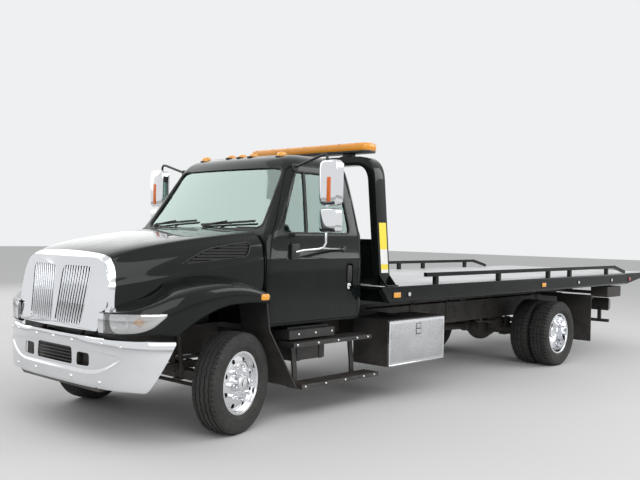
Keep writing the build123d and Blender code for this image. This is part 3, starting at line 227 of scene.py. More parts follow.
M = {
    "paint": surface("black_paint_look", (0.0060, 0.0078, 0.0076), rough=(0.20, 0.30), tint=0.25, grain=0.012,
                     grain_scale=90.0, dust=0.02, dust_top=1.0, coat=0.75, specular=0.06),
    "satin": surface("satin_black_look", (0.013, 0.013, 0.014), rough=(0.34, 0.5), tint=0.3, grain=0.16,
                     grain_scale=120.0, dust=0.34, dust_top=1.05, coat=0.15),
    "frame": surface("frame_black_look", (0.016, 0.016, 0.017), rough=(0.45, 0.66), tint=0.35, grain=0.25,
                     grain_scale=70.0, dust=0.62, dust_top=1.25),
    "iron": surface("iron_look", (0.09, 0.088, 0.085), metallic=0.4, rough=(0.5, 0.7), tint=0.3, grain=0.5,
                    grain_scale=60.0, dust=0.45),
    "chrome": surface("chrome_look", (0.80, 0.81, 0.83), metallic=1.0, rough=(0.03, 0.10), tint=0.03,
                      grain=0.01, grain_scale=25.0, dust=0.10, dust_top=0.8),
    "polish": surface("polished_look", (0.78, 0.79, 0.81), metallic=1.0, rough=(0.10, 0.20), tint=0.04,
                      grain=0.05, grain_scale=260.0, dust=0.10, dust_top=0.6),
    "alloy": surface("aluminium_look", (0.62, 0.63, 0.64), metallic=0.9, rough=(0.24, 0.38), tint=0.08,
                     grain=0.1, grain_scale=40.0, stretch=(1.0, 1.0, 12.0), dust=0.12),
    "tread_side": surface("tread_plate_side_look", (0.55, 0.56, 0.57), metallic=0.85, rough=(0.22, 0.34),
                          tint=0.08, grain=0.1, dust=0.12, dust_top=0.7, pattern=lozenges("X", "Z", 0.021),
                          pattern_depth=0.0016, pattern_strength=0.55),
    "tread_floor": surface("tread_plate_floor_look", (0.62, 0.63, 0.64), metallic=0.40, rough=(0.34, 0.5),
                           tint=0.14, tint_scale=1.6, grain=0.2, pattern=lozenges("X", "Y", 0.036),
                           pattern_depth=0.0026, pattern_strength=0.8),
    "wheel": surface("wheel_look", (0.84, 0.85, 0.87), metallic=1.0, rough=(0.06, 0.11), tint=0.02,
                     grain=0.02, grain_scale=40.0, dust=0.06, dust_top=0.6),
    "vent_mesh": surface("vent_mesh_look", (0.010, 0.010, 0.011), rough=(0.5, 0.6), tint=0.2, grain=0.1,
                         pattern=squares("X", "Z", 0.012), pattern_depth=0.004, pattern_strength=1.0,
                         specular=0.2),
    "reflector": surface("reflector_look", (0.95, 0.96, 0.97), metallic=0.25, rough=(0.12, 0.25), tint=0.02,
                         grain=0.02),
    "steel": surface("rod_look", (0.66, 0.67, 0.69), metallic=1.0, rough=(0.10, 0.2), tint=0.05, grain=0.05),
    "rubber": surface("rubber_look", (0.016, 0.016, 0.016), rough=(0.5, 0.7), tint=0.3, grain=0.35,
                      grain_scale=200.0, dust=0.3),
    "tyre": surface("tyre_look", (0.021, 0.0205, 0.020), rough=(0.62, 0.85), tint=0.28, tint_scale=9.0,
                    grain=0.4, grain_scale=320.0, dust=0.16, dust_top=0.9, dust_colour=(0.10, 0.092, 0.08)),
    "screen_glass": clear_gloss("screen_glass_look", (0.80, 0.90, 0.86), (0.82, 1.0, 0.93), 0.30, 1.0),
    "side_glass": clear_gloss("side_glass_look", (0.58, 0.72, 0.67), (0.80, 1.0, 0.94), 0.05, 1.0),
    "lens_clear": clear_gloss("clear_lens_look", (0.96, 0.97, 0.98), (1.0, 1.0, 1.0), 0.16, 1.3,
                              (0.01, 0.04), 0.02),
    "amber": lens("amber_lens_look", (1.0, 0.42, 0.035), 0.012, through=0.15),
    "amber_deep": lens("amber_deep_look", (0.86, 0.17, 0.012), 0.012, through=0.15),
    "amber_bar": lens("amber_bar_look", (1.0, 0.38, 0.025), 0.016, "Y", 0.15),
    # Paler amber for the light bar's middle modules: a painted highlight.
    "amber_painted_highlight": lens("amber_painted_highlight_look", (1.0, 0.56, 0.14), 0.016, "Y", 0.15),
    "red": lens("red_lens_look", (0.62, 0.012, 0.010), 0.008),
    "white": lens("white_lens_look", (0.88, 0.88, 0.86), 0.008),
    "yellow_tape": surface("yellow_tape_look", (0.90, 0.72, 0.05), rough=(0.25, 0.4), tint=0.05, grain=0.1,
                           pattern=squares("Y", "Z", 0.004), pattern_depth=0.0004, pattern_strength=0.4),
    "white_tape": surface("white_tape_look", (0.82, 0.82, 0.80), rough=(0.25, 0.4), tint=0.05, grain=0.1,
                          pattern=squares("X", "Z", 0.004), pattern_depth=0.0004, pattern_strength=0.4),
    "trim": surface("cab_trim_look", (0.085, 0.085, 0.088), rough=(0.5, 0.65), tint=0.1, grain=0.5,
                    grain_scale=500.0),
    "cloth": surface("seat_cloth_look", (0.11, 0.115, 0.125), rough=(0.8, 0.95), tint=0.15, tint_scale=14.0,
                     grain=0.5, grain_scale=400.0, pattern=squares("Y", "Z", 0.006), pattern_depth=0.0008),
    "rope": surface("rope_look", (0.30, 0.29, 0.27), metallic=0.7, rough=(0.4, 0.55), tint=0.2,
                    tint_scale=40.0,
                    grain=0.4, grain_scale=300.0, pattern=ribs("Y", 0.008), pattern_depth=0.001),
    "plate": surface("blank_plate_look", (0.70, 0.70, 0.68), rough=(0.3, 0.4), tint=0.04, grain=0.1),
}


# Shapes

class Shape:
    """Faces gathered for one piece, in metres from the front axle."""

    def __init__(self):
        self.points = []
        self.faces = []
        self.looks = []
        self.look = 0

    def add(self, points, faces):
        base = len(self.points)
        self.points += [tuple(p) for p in points]
        self.faces += [[base + i for i in face] for face in faces]
        self.looks += [self.look] * len(faces)
        return self

    def grid(self, rows, loop_rows=False, loop_columns=False, cap=False):
        """Four-sided faces between rows of points, closed on themselves either way or capped where asked."""
        wide = len(rows[0])
        faces = []
        for i in range(len(rows) - (0 if loop_rows else 1)):
            for j in range(wide - (0 if loop_columns else 1)):
                a, b = i * wide, ((i + 1) % len(rows)) * wide
                faces.append([a + j, a + (j + 1) % wide, b + (j + 1) % wide, b + j])
        if cap:
            faces.append(list(range(wide))[::-1])
            faces.append([(len(rows) - 1) * wide + j for j in range(wide)])
        return self.add([p for row in rows for p in row], faces)

    def prism(self, points, axis, low, high):
        """An outline in the plane across an axis, drawn between two places along it."""
        order = {"x": lambda a, b, t: (t, a, b), "y": lambda a, b, t: (a, t, b), "z": lambda a, b,
                 t: (a, b, t)}[axis]
        return self.grid([[order(a, b, t) for a, b in points] for t in sorted((low, high))],
                         loop_columns=True, cap=True)

    def box(self, xs, ys, zs):
        (x0, x1), (y0, y1) = sorted(xs), sorted(ys)
        return self.prism([(x0, y0), (x1, y0), (x1, y1), (x0, y1)], "z", *zs)

    def tube(self, path, radius, sides=12, cap=True, flat=None):
        """A round bar along a path; flat gives a rectangle's half sizes instead."""
        path = [Vector(p) for p in path]
        rows = []
        side = None
        for i, p in enumerate(path):
            ahead = (path[min(i + 1, len(path) - 1)] - path[max(i - 1, 0)]).normalized()
            if side is None:
                side = ahead.orthogonal().normalized()
                if flat:
                    side = Vector((1, 0, 0)) if abs(ahead.x) < 0.9 else Vector((0, 1, 0))
            side = (side - ahead * side.dot(ahead)).normalized()
            up = ahead.cross(side)
            if flat:
                corners = ((1, 1), (-1, 1), (-1, -1), (1, -1))
                rows.append([p + side * flat[0] * a + up * flat[1] * b for a, b in corners])
            else:
                rows.append(circle(p, side, up, radius, sides))
        return self.grid(rows, loop_columns=True, cap=cap)

    def turn(self, profile, origin=(0, 0, 0), axis="y", sides=48):
        """A profile of (radius, place along the axis) turned round the axis."""
        rows = []
        for k in range(sides):
            a = 2 * pi * k / sides
            row = []
            for radius, along in profile:
                u, v = radius * cos(a), radius * sin(a)
                p = {"x": (along, u, v), "y": (u, along, v), "z": (u, v, along)}[axis]
                row.append(tuple(p[i] + origin[i] for i in range(3)))
            rows.append(row)
        return self.grid(rows, loop_rows=True)

    def placed(self, place):
        self.points = [tuple(place(p)) for p in self.points]
        return self

    def both_sides(self):
        """Adds the same faces on the truck's other side."""
        base = len(self.points)
        self.points += [(x, -y, z) for x, y, z in self.points]
        self.faces += [[base + i for i in face[::-1]] for face in self.faces]
        self.looks += self.looks
        return self

    def join(self, other):
        base = len(self.points)
        self.points += other.points
        self.faces += [[base + i for i in face] for face in other.faces]
        self.looks += other.looks
        return self

    def object(self, name, looks):
        mesh = bpy.data.meshes.new(name)
        mesh.from_pydata([(x + AXLE_X, y, z) for x, y, z in self.points], [], self.faces)
        mesh.polygons.foreach_set("material_index", self.looks)
        mesh.update()
        return linked(name, mesh, looks)


def circle(centre, first, second, radius, sides, squash=1.0):
    """Points round a circle in the plane of two directions; squash shortens it along the second one."""
    angles = [2 * pi * k / sides for k in range(sides)]
    return [centre + first * radius * cos(a) + second * squash * radius * sin(a) for a in angles]


def linked(name, mesh, looks):
    """An object of the scene with this mesh and these looks."""
    for look in looks:
        mesh.materials.append(M[look])
    made = bpy.data.objects.new(name, mesh)
    bpy.context.scene.collection.objects.link(made)
    return made


def flat_circle(middle, radius, sides, start=0.0):
    """Points round a circle in a plane, the first of them at an angle."""
    angles = [2 * pi * k / sides + start for k in range(sides)]
    return [(middle[0] + radius * cos(a), middle[1] + radius * sin(a)) for a in angles]


def swollen(point, power):
    """Brings a point of a cube onto a cube with rounded edges; a higher power rounds them less."""
    return point / sum(abs(c) ** power for c in point) ** (1 / power)


def moulded(name, look, cuts, place):
    """A finely divided cube, from -1 to 1, with each of its points moved by place."""
    work = bmesh.new()
    bmesh.ops.create_cube(work, size=2.0)
    bmesh.ops.subdivide_edges(work, edges=work.edges, cuts=cuts, use_grid_fill=True)
    for vert in work.verts:
        vert.co = place(vert.co.copy()) + Vector((AXLE_X, 0, 0))
    mesh = bpy.data.meshes.new(name)
    work.to_mesh(mesh)
    work.free()
    return linked(name, mesh, [look])


@contextmanager
def edited(made):
    """The piece's mesh, open for edits that are written back at the end."""
    work = bmesh.new()
    work.from_mesh(made.data)
    yield work
    work.to_mesh(made.data)
    work.free()


def tidy_normals(made):
    with edited(made) as work:
        bmesh.ops.recalc_face_normals(work, faces=work.faces)


def face_along(made, outward):
    """Turns the faces of an open sheet so that each looks the way outward(face) points."""
    with edited(made) as work:
        for face in work.faces:
            if face.normal.dot(outward(face)) < 0:
                face.normal_flip()


def smooth(made, angle):
    for polygon in made.data.polygons:
        polygon.use_smooth = True
    made.data.set_sharp_from_angle(angle=radians(angle))


def bake(made):
    """Turns the modifiers into mesh."""
    depsgraph = bpy.context.evaluated_depsgraph_get()
    mesh = bpy.data.meshes.new_from_object(made.evaluated_get(depsgraph))
    made.modifiers.clear()
    made.data = mesh
    return made


def cut(made, *cutters, operation="DIFFERENCE"):
    """Cuts closed shapes out of a closed piece, or keeps what they share."""
    for cutter in cutters:
        tidy_normals(cutter)
        step = made.modifiers.new("cut", "BOOLEAN")
        step.object = cutter
        step.operation = operation
        step.solver = "EXACT"
    bake(made)
    for cutter in cutters:
        bpy.data.objects.remove(cutter)
    return made


def thicken(made, rounds, thickness):
    """Rounds a sheet by subdivision and gives it a thickness on its inner side."""
    if rounds:
        step = made.modifiers.new("round", "SUBSURF")
        step.levels = step.render_levels = rounds
    if thickness:
        step = made.modifiers.new("shell", "SOLIDIFY")
        step.thickness = thickness
        step.offset = -1.0


def bevelled(made, width, segments, angle):
    """Rounds the edges that are sharper than an angle."""
    step = made.modifiers.new("bevel", "BEVEL")
    step.width = width
    step.segments = segments
    step.limit_method = "ANGLE"
    step.angle_limit = radians(angle)
    step.use_clamp_overlap = True
    return step


def make(shape, name, looks, body, stands_for=(), bevel=0.0, rounds=0, shell=0.0, angle=40,
         closed=True,
         steps=2):
    """The finished piece: normals, rounding, and the body it rides on."""
    made = shape.object(name, looks) if isinstance(shape, Shape) else shape
    for index, look in enumerate(looks):
        made.data.materials[index] = M[look]
    if closed:
        tidy_normals(made)
    thicken(made, rounds, shell)
    if bevel:
        bevelled(made, bevel, steps, 35)
    if made.modifiers:
        bake(made)
    smooth(made, angle)
    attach(made, body)
    if stands_for:
        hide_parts(*stands_for)
    return made


def rounded(points, radius, steps=5):
    """A closed outline with its corners rounded; radius may be one number or one for each corner."""
    out = []
    count = len(points)
    for i, p in enumerate(points):
        here = Vector(p)
        back = Vector(points[i - 1]) - here
        ahead = Vector(points[(i + 1) % count]) - here
        r = radius[i] if isinstance(radius, (list, tuple)) else radius
        reach = min(r, back.length * 0.48, ahead.length * 0.48)
        start, end = here + back.normalized() * reach, here + ahead.normalized() * reach
        for k in range(steps + 1):
            t = k / steps
            out.append(tuple(start * (1 - t) ** 2 + here * 2 * t * (1 - t) + end * t ** 2))
    return out


def rectangle(first, second, radius, steps=5):
    """A rectangle over two spans, with rounded corners."""
    (u0, u1), (v0, v1) = sorted(first), sorted(second)
    return rounded([(u0, v0), (u1, v0), (u1, v1), (u0, v1)], radius, steps)


def along(table, at):
    """Reads a table of rows by its first column, with straight lines between the rows."""
    rows = sorted(table)
    if at <= rows[0][0]:
        return rows[0][1:]
    for low, high in zip(rows, rows[1:]):
        if at <= high[0]:
            t = (at - low[0]) / (high[0] - low[0])
            return tuple(a + (b - a) * t for a, b in zip(low[1:], high[1:]))
    return rows[-1][1:]


# Hood: the bonnet and both fenders, each as a smooth skin
# columns: x, crease y and z, middle z, side y and z, low y and z
bonnet_table = (
    (-0.398, 0.850, 1.668, 1.702, 0.950, 1.560, 0.985, 1.10),
                (-0.200, 0.825, 1.652, 1.688, 0.932, 1.535, 0.965, 1.10),
    (0.000, 0.795, 1.630, 1.668, 0.905, 1.500, 0.940, 1.08),
                (0.200, 0.760, 1.603, 1.643, 0.868, 1.468, 0.910, 1.07),
    (0.400, 0.720, 1.572, 1.614, 0.825, 1.440, 0.868, 1.06),
                (0.600, 0.675, 1.535, 1.580, 0.775, 1.405, 0.815, 1.05),
    (0.780, 0.628, 1.492, 1.538, 0.720, 1.360, 0.755, 1.04),
                (0.900, 0.590, 1.450, 1.493, 0.675, 1.320, 0.705, 1.03),
    (0.957, 0.565, 1.412, 1.452, 0.650, 1.290, 0.680, 1.02))
# columns: x, y of the outer edge, heights of the lip, the lamp's bottom, the lamp's top and the crest
fender_table = (
    (-0.310, 1.158, 1.085, 1.105, 1.125, 1.165), (-0.230, 1.162, 1.092, 1.118, 1.145, 1.196),
    (-0.120, 1.165, 1.098, 1.132, 1.168, 1.230), (0.000, 1.166, 1.098, 1.140, 1.182, 1.250),
    (0.130, 1.166, 1.091, 1.138, 1.185, 1.257), (0.260, 1.166, 1.065, 1.122, 1.178, 1.252),
    (0.379, 1.163, 1.022, 1.096, 1.160, 1.238), (0.460, 1.158, 0.985, 1.075, 1.145, 1.224),
    (0.537, 1.150, 0.940, 1.052, 1.128, 1.207), (0.590, 1.143, 0.903, 1.040, 1.112, 1.194),
    (0.632, 1.134, 0.870, 1.030, 1.090, 1.182), (0.675, 1.122, 0.872, 1.022, 1.062, 1.168),
    (0.713, 1.105, 0.880, 1.012, 1.042, 1.152), (0.765, 1.078, 0.886, 0.958, 1.038, 1.130),
    (0.820, 1.040, 0.882, 0.918, 1.036, 1.110), (0.870, 0.990, 0.874, 0.893, 1.034, 1.092),
    (0.915, 0.925, 0.868, 0.883, 1.032, 1.076), (0.955, 0.845, 0.863, 0.878, 1.030, 1.062),
    (0.985, 0.765, 0.861, 0.876, 1.028, 1.052), (1.002, 0.695, 0.860, 0.875, 1.027, 1.046),
    (1.010, 0.632, 0.860, 0.875, 1.026, 1.043))
# row of the fender table where the lamp's opening starts
LAMP_FIRST = 12


def fender_inward(i):
    """The level direction that points into the fender at a row of its table."""
    low, high = fender_table[max(i - 1, 0)], fender_table[min(i + 1, len(fender_table) - 1)]
    dx, dy = high[0] - low[0], high[1] - low[1]
    length = hypot(dx, dy)
    return dy / length, -dx / length


def fender_row(i):
    """The fender's section from inside its lip up to its crest."""
    x, y, lip, low, high, crest = fender_table[i]
    ax, ay = fender_inward(i)
    front = max(0.0, min(1.0, (x - 0.6) / 0.4))

    def at(inward, z):
        return (x + ax * inward, y + ay * inward, z)
    return [at(0.060, lip + 0.012), at(0.022, lip - 0.002), at(0.003, lip), at(0.0, lip + 0.012),
            at(-0.003 * (1 - front), low), at(-0.002 * (1 - front), high),
            at(0.008, high + (crest - high) * 0.50), at(0.032, crest - 0.010), at(0.075, crest + 0.004),
            at(0.150 - 0.05 * front, crest + 0.022), at(0.240 - 0.10 * front, crest + 0.046),
            at(0.330 - 0.15 * front, crest + 0.062)]


# height of the ridge that carries the doors' crease on along the bonnet's side
RIDGE = ((-0.398, 1.436), (0.957, 1.225))


def bonnet_half(x):
    """The left half of the bonnet's section at x, from the middle of its top down to its lower edge."""
    cy, cz, mz, sy, sz, ly, lz = along(bonnet_table, x)
    rz = along(RIDGE, x)[0]
    ry = sy + (ly - sy) * (sz - rz) / (sz - lz) + 0.004
    return [(0.0, mz), (0.30 * cy, mz - 0.002), (0.62 * cy, mz - 0.010), (0.86 * cy, mz - 0.022),
            (cy - 0.030, cz + 0.006),
            (cy, cz - 0.002), (cy + 0.012, cz - 0.024), (0.5 * (cy + sy) + 0.006, 0.5 * (cz + sz)), (sy, sz),
            (ry - 0.006, rz + 0.020), (ry + 0.007, rz + 0.002), (ry + 0.004, rz - 0.012), (ly, lz)]


def bonnet_side(x, z):
    """How far out the bonnet's side stands at a place."""
    return along([(height, y) for y, height in bonnet_half(x)[5:]], z)[0]


def nose_back(x, y):
    """The nose is bowed in plan: how far a place near it is set back."""
    return 0.036 * (abs(y) / 0.65) ** 2 * max(0.0, (x - 0.78) / 0.177)


VENT = rounded([(0.385, 1.395), (0.15, 1.522), (-0.285, 1.585), (-0.240, 1.458)], [0.03, 0.3, 0.05, 0.05], 8)
NOSE_X = bonnet_table[-1][0]


def hood_skin():
    """The bonnet as a sheet with a rolled front edge, and the vents cut in its sides."""
    rows = []
    for x, *_ in bonnet_table:
        half = bonnet_half(x)
        rows.append([(x - nose_back(x, y), y, z) for y, z in [(-y, z) for y, z in half[:0:-1]] + half])
    last = rows[-1]
    rows.append([(x + 0.003, y * 0.985, z - 0.018) for x, y, z in last])
    rows.append([(x - 0.012, y * 0.93, min(z, 1.40) - 0.02) for x, y, z in rows[-1]])
    made = Shape().grid(rows).object("hood_bonnet", ["paint"])
    tidy_normals(made)
    thicken(made, 2, 0.016)
    bake(made)
    return cut(made, *[Shape().prism(VENT, "y", side * 0.70, side * 1.1).object("vent_cutter", ["paint"])
                       for side in (-1, 1)])


def fenders():
    """Both fenders as open sheets, with the lamps' openings left out of the strip at their height."""
    rows = [fender_row(i) for i in range(len(fender_table))]
    wide = len(rows[0])
    sheet = Shape().grid(rows)
    lamp_strip = 4
    sheet.faces = [face for face in sheet.faces
                   if face[0] % wide != lamp_strip or face[0] // wide < LAMP_FIRST]
    sheet.looks = [0] * len(sheet.faces)
    made = sheet.both_sides().object("hood_fenders", ["paint"])
    tidy_normals(made)

    def outward(face):
        centre = face.calc_center_median()
        return centre - Vector((AXLE_X + 0.2, 0.6 if centre.y > 0 else -0.6, 1.0))
    face_along(made, outward)
    return made


bonnet_piece = hood_skin()
fender_piece = fenders()
make(fender_piece, "hood_fenders", ["paint"], "tilting_hood", rounds=2, shell=0.012,
     closed=False)
make(bonnet_piece, "hood_bonnet", ["paint"], "tilting_hood", stands_for=("hood",),
     closed=False)

# Dark mesh just inside the vents, between slats that lean back, in a slim frame that follows the skin
vent = Shape()
VENT_BACK, VENT_LONG, VENT_COLUMNS = -0.315, 0.725, 36
rows = []
vent_top = ((VENT_BACK, 1.602), (0.15, 1.540), (0.41, 1.430))
for k in range(VENT_COLUMNS + 1):
    x = VENT_BACK + VENT_LONG * k / VENT_COLUMNS
    low, high = 1.440 - 0.105 * (x - VENT_BACK), along(vent_top, x)[0]
    heights = [low + (high - low) * j / 8 for j in range(9)]
    rows.append([(x, bonnet_side(x, z) - 0.024, z) for z in heights])
vent.grid(rows)
vent.look = 1
for z in (1.416, 1.440, 1.464, 1.488, 1.512, 1.536, 1.560):
    reach = along([(1.400, 0.360), (1.512, 0.140), (1.575, -0.200)], z)[0]
    slat = [(-0.280 + (reach + 0.280) * k / 6, z) for k in range(7)]
    vent.tube([(x, bonnet_side(x, high) - 0.017, high) for x, high in slat], 0.0, flat=(0.0025, 0.009))
frame_path = [(x, bonnet_side(x, z) - 0.004, z) for x, z in VENT]
vent.tube(frame_path + frame_path[:1], 0.0055, 8, cap=False)
vent.both_sides()
make(vent, "hood_vent_mesh", ["vent_mesh", "satin"], "tilting_hood", closed=False)

# Hood hinge arms
arms = Shape()
arms.prism([(0.93, 1.02), (0.93, 0.83), (0.963, 0.782), (0.997, 0.782), (0.997, 0.812), (0.950, 0.85),
            (0.950, 1.02)], "y", 0.285, 0.315)
arms.both_sides()
make(arms, "hood_hinge_arms", ["frame"], "tilting_hood", bevel=0.004)

# Grille: a broad bright surround with two openings, upright bars and a plain keel between them
# columns: y, z and the corner's radius, up the surround's left side
surround_corners = ((0.602, 0.880, 0.02), (0.618, 1.030, 0.03), (0.678, 1.058, 0.03), (0.656, 1.29, 0.09),
                    (0.588, 1.408, 0.06), (0.500, 1.446, 0.10))
surround_outline = rounded([(-y, z) for y, z, _ in surround_corners] + [(y, z) for y, z,
                                                                        _ in surround_corners[::-1]],
                           [r for _, _, r in surround_corners + surround_corners[::-1]], 6)


def face_x(y, z):
    """How far ahead of the axle the grille's face stands."""
    return 1.040 - 0.064 * (z - 0.90) / 0.5 - 0.045 * (abs(y) / 0.65) ** 2


def surround():
    """The grille's surround, bent to the face and given its thickness."""
    made = Shape().prism(surround_outline, "x", 0.90, 1.05).object("grille_frame", ["chrome"])
    tidy_normals(made)
    holes = []
    for side in (-1, 1):
        outline = rounded([(side * 0.022, 0.914), (side * 0.400, 0.920), (side * 0.452, 1.374),
                           (side * 0.054, 1.372)],
                          [0.03, 0.045, 0.06, 0.06])[::side]
        holes.append(Shape().prism(outline, "x", 0.7, 1.2).object("hole", ["chrome"]))
    cut(made, *holes)
    with edited(made) as work:
        bmesh.ops.triangulate(work, faces=work.faces)
        long_edges = [e for e in work.edges if e.calc_length() > 0.09]
        bmesh.ops.subdivide_edges(work, edges=long_edges, cuts=4, use_grid_fill=True)
        for vert in work.verts:
            ahead = vert.co.x - AXLE_X > 0.98
            vert.co.x = AXLE_X + face_x(vert.co.y, vert.co.z) - (0.0 if ahead else 0.055)
    return made


make(surround(), "grille_frame", ["chrome"], "tilting_hood",
     stands_for=("grille_surround",), bevel=0.012,
     steps=4, closed=False, angle=50)

# A bright wrap that runs from the surround back over the bonnet's nose and thins out down its sides
WRAP_REACH = 0.052
WRAP_MIDDLE_Z = 1.05


def skin_at(x, spot):
    """A place of the bonnet's section: whole numbers are its points, and fractions lie between them."""
    half = bonnet_half(x)
    low = min(int(spot), len(half) - 2)
    (y0, z0), (y1, z1) = half[low], half[low + 1]
    return y0 + (y1 - y0) * (spot - low), z0 + (z1 - z0) * (spot - low)


wrap_rows = []
for step, out in enumerate((-0.018, 0.0025, 0.0045, 0.0045, 0.0045, 0.0045)):
    row = []
    for spot in range(25):
        z = skin_at(NOSE_X, spot / 2)[1]
        reach = WRAP_REACH if z > 1.35 else WRAP_REACH * max(0.30, (z - 1.06) / 0.29)
        x = NOSE_X - reach * max(0, step - 2) / 3
        y, z = skin_at(x, spot / 2)
        set_back = x - nose_back(x, y) if step > 1 else face_x(y, z) + (0.0015, -0.006)[step]
        grow = out / hypot(y, z - WRAP_MIDDLE_Z)
        row.append((set_back, y * (1 + grow), z + (z - WRAP_MIDDLE_Z) * grow))
    wrap_rows.append([(x, -y, z) for x, y, z in row[:0:-1]] + row)
make(Shape().grid(wrap_rows), "grille_wrap", ["chrome"], "tilting_hood", closed=False,
     rounds=1,
     angle=60)
bars = Shape()
BARS_A_SIDE = 11
for side in (-1, 1):
    for k in range(BARS_A_SIDE):
        t = (k + 0.5) / BARS_A_SIDE
        low_y, high_y = side * (0.022 + t * 0.378), side * (0.054 + t * 0.398)
        path = [(face_x(low_y, 0.914) - 0.020, low_y, 0.908), (face_x(high_y, 1.374) - 0.020, high_y, 1.380)]
        bars.tube(path, 0.0, flat=(0.016, 0.0092))
bars.look = 1
bars.box((0.915, 0.925), (-0.46, 0.46), (0.90, 1.38))
make(bars, "grille_fill", ["chrome", "satin"], "tilting_hood",
     stands_for=("grille_bars",), bevel=0.003)

# Headlamps: a clear lens over a bright bowl, with an amber corner
lens_rows = []
bowl_rows = []
for i in range(LAMP_FIRST, len(fender_table)):
    x, y, lip, low, high, crest = fender_table[i]
    ax, ay = fender_inward(i)
    t = (i - LAMP_FIRST) / (len(fender_table) - 2 - LAMP_FIRST)
    depth = 0.012 + 0.085 * max(0.0, min(1.0, 2.2 * t, 8.0 * (1.0 - t)))
    lens_rows.append([(x + ax * d, y + ay * d, low + (high - low) * s) for s, d in
                      ((-0.04, 0.004), (0.12, -0.004), (0.5, -0.008), (0.88, -0.004), (1.04, 0.004))])
    bowl_rows.append([(x + ax * d, y + ay * d, low + (high - low) * s) for s, d in
                      ((-0.02, 0.012), (0.10, depth * 0.8), (0.35, depth), (0.65, depth),
                       (0.90, depth * 0.8), (1.02, 0.012))])
lens_shape = Shape().grid(lens_rows[:-1])
lens_shape.look = 1
lens_shape.grid(lens_rows[-2:])
lens_shape.both_sides()
make(lens_shape, "headlamp_lenses", ["lens_clear", "chrome"], "tilting_hood",
     stands_for=("headlamps",), rounds=2,
     shell=0.004)
bowl = Shape().grid(bowl_rows).both_sides()
make(bowl, "headlamp_bowls", ["reflector"], "tilting_hood", rounds=2, shell=0.003)
REFLECTOR_R = 0.058


def aimed(centre, aim, rings, sides, squash=1.0):
    """Rings of (radius, place ahead) about a level direction, for a lamp's round parts."""
    ahead = Vector((*aim, 0)).normalized()
    across = Vector((-ahead.y, ahead.x, 0))
    return [circle(Vector(centre) + ahead * place, across, UP, radius, sides, squash) for radius,
            place in rings]


bulbs = Shape()
dish = [(REFLECTOR_R * share, place) for share, place in
        ((1.0, 0.030), (0.9, 0.018), (0.55, -0.006), (0.22, -0.016), (0.20, 0.012))]
dish.append((0.004, 0.018))
bulbs.grid(aimed((0.895, 0.800, 0.955), (0.85, 0.52), dish, 32), loop_columns=True)
bulbs.look = 1
bulbs.grid(aimed((0.835, 0.915, 0.965), (0.75, 0.66),
                 ((0.034, 0.0), (0.034, 0.014), (0.022, 0.026), (0.004, 0.030)), 24, 0.8), loop_columns=True)
bulbs.both_sides()
make(bulbs, "headlamp_reflectors", ["reflector", "amber"], "tilting_hood")

# Front bumper: a pressed bright sheet with a curved crease, openings, bolts and a dark lower lip
bumper_plan = ((0.690, 1.185), (0.770, 1.125), (0.850, 1.035), (0.915, 0.925), (0.968, 0.800),
               (1.000, 0.640), (1.018, 0.500),
               (1.028, 0.340), (1.033, 0.170), (1.035, 0.0))


def bumper_sheet():
    """The sheet as columns along its curve, each with its own crease heights."""
    columns = 52
    half = []
    for k in range(columns + 1):
        t = k / columns * (len(bumper_plan) - 1)
        low = min(int(t), len(bumper_plan) - 2)
        f = t - low
        p = [Vector(bumper_plan[max(0, min(len(bumper_plan) - 1, low + d))]) for d in (-1, 0, 1, 2)]
        q = 0.5 * (2 * p[1] + (p[2] - p[0]) * f + (2 * p[0] - 5 * p[1] + 4 * p[2] - p[3]) * f ** 2
                   + (3 * p[1] - p[0] - 3 * p[2] + p[3]) * f ** 3)
        half.append((q.x, max(0.0, q.y) if k < columns else 0.0))
    strips = []
    for x, y in half:
        low = min(0.680, 0.552 + 0.120 * max(0.0, (y - 0.45) / 0.38) ** 2.2)
        high = max(low + 0.024, 0.745 - 0.040 * max(0.0, (y - 0.30) / 0.53))
        depth = 0.015 * max(0.0, min(1.0, (0.850 - y) / 0.045))
        rolled = 0.004 + 0.016 * max(0.0, min(1.0, (y - 0.36) / 0.14))
        levels = [(0.440, 0), (0.446, 0), (0.460, 0), (0.500, 0), (low - 0.020, 0), (low - 0.004, 0),
                  (low + 0.006, 1)]
        levels += [(low + 0.006 + (high - low - 0.012) * s, 1) for s in (0.25, 0.5, 0.75, 1.0)]
        levels += [(high + 0.004, 0), (high + 0.018, 0), (0.800, 0), (0.816, 0), (0.826, 0), (0.830, 0)]
        length = hypot(0.35 + y * 0.9, 1.0)
        way_x, way_y = 1.0 / length, (0.15 + y * 0.75) / length
        strip = []
        for z, sunk in levels:
            lip = rolled * max(0.0, (z - 0.800) / 0.030) ** 2 + 0.016 * max(0.0, (0.475 - z) / 0.035) ** 2
            off = 0.006 * (1 - ((z - 0.635) / 0.2) ** 2) - lip - sunk * depth - 0.006
            strip.append((x + way_x * off, y + way_y * off, z))
        strips.append(strip)
    rows = [[(x, -y, z) for x, y, z in strip] for strip in strips[:-1]] + strips[::-1]
    made = Shape().grid(rows).object("bumper_sheet", ["chrome"])
    tidy_normals(made)
    face_along(made, lambda face: Vector((1, 0, 0)))
    thicken(made, 1, 0.006)
    bake(made)
    prisms = [(rounded([(-0.275, 0.592), (0.275, 0.592), (0.262, 0.728), (-0.262, 0.728)], 0.03), "x", 0.9,
               1.1)]
    for side in (-1, 1):
        hole = [(side * 0.335, 0.595), (side * 0.505, 0.600), (side * 0.500, 0.700), (side * 0.340, 0.700)]
        prisms.append((rounded(hole, 0.028), "x", 0.9, 1.1))
    wheel_side = [(0.50, 0.30), (0.838, 0.30), (0.838, 0.44), (0.675, 0.835), (0.675, 0.95), (0.50, 0.95)]
    prisms += [(wheel_side, "y", side * 0.9, side * 1.4) for side in (-1, 1)]
    return cut(made, *[Shape().prism(*prism).object("cutter", ["chrome"]) for prism in prisms])


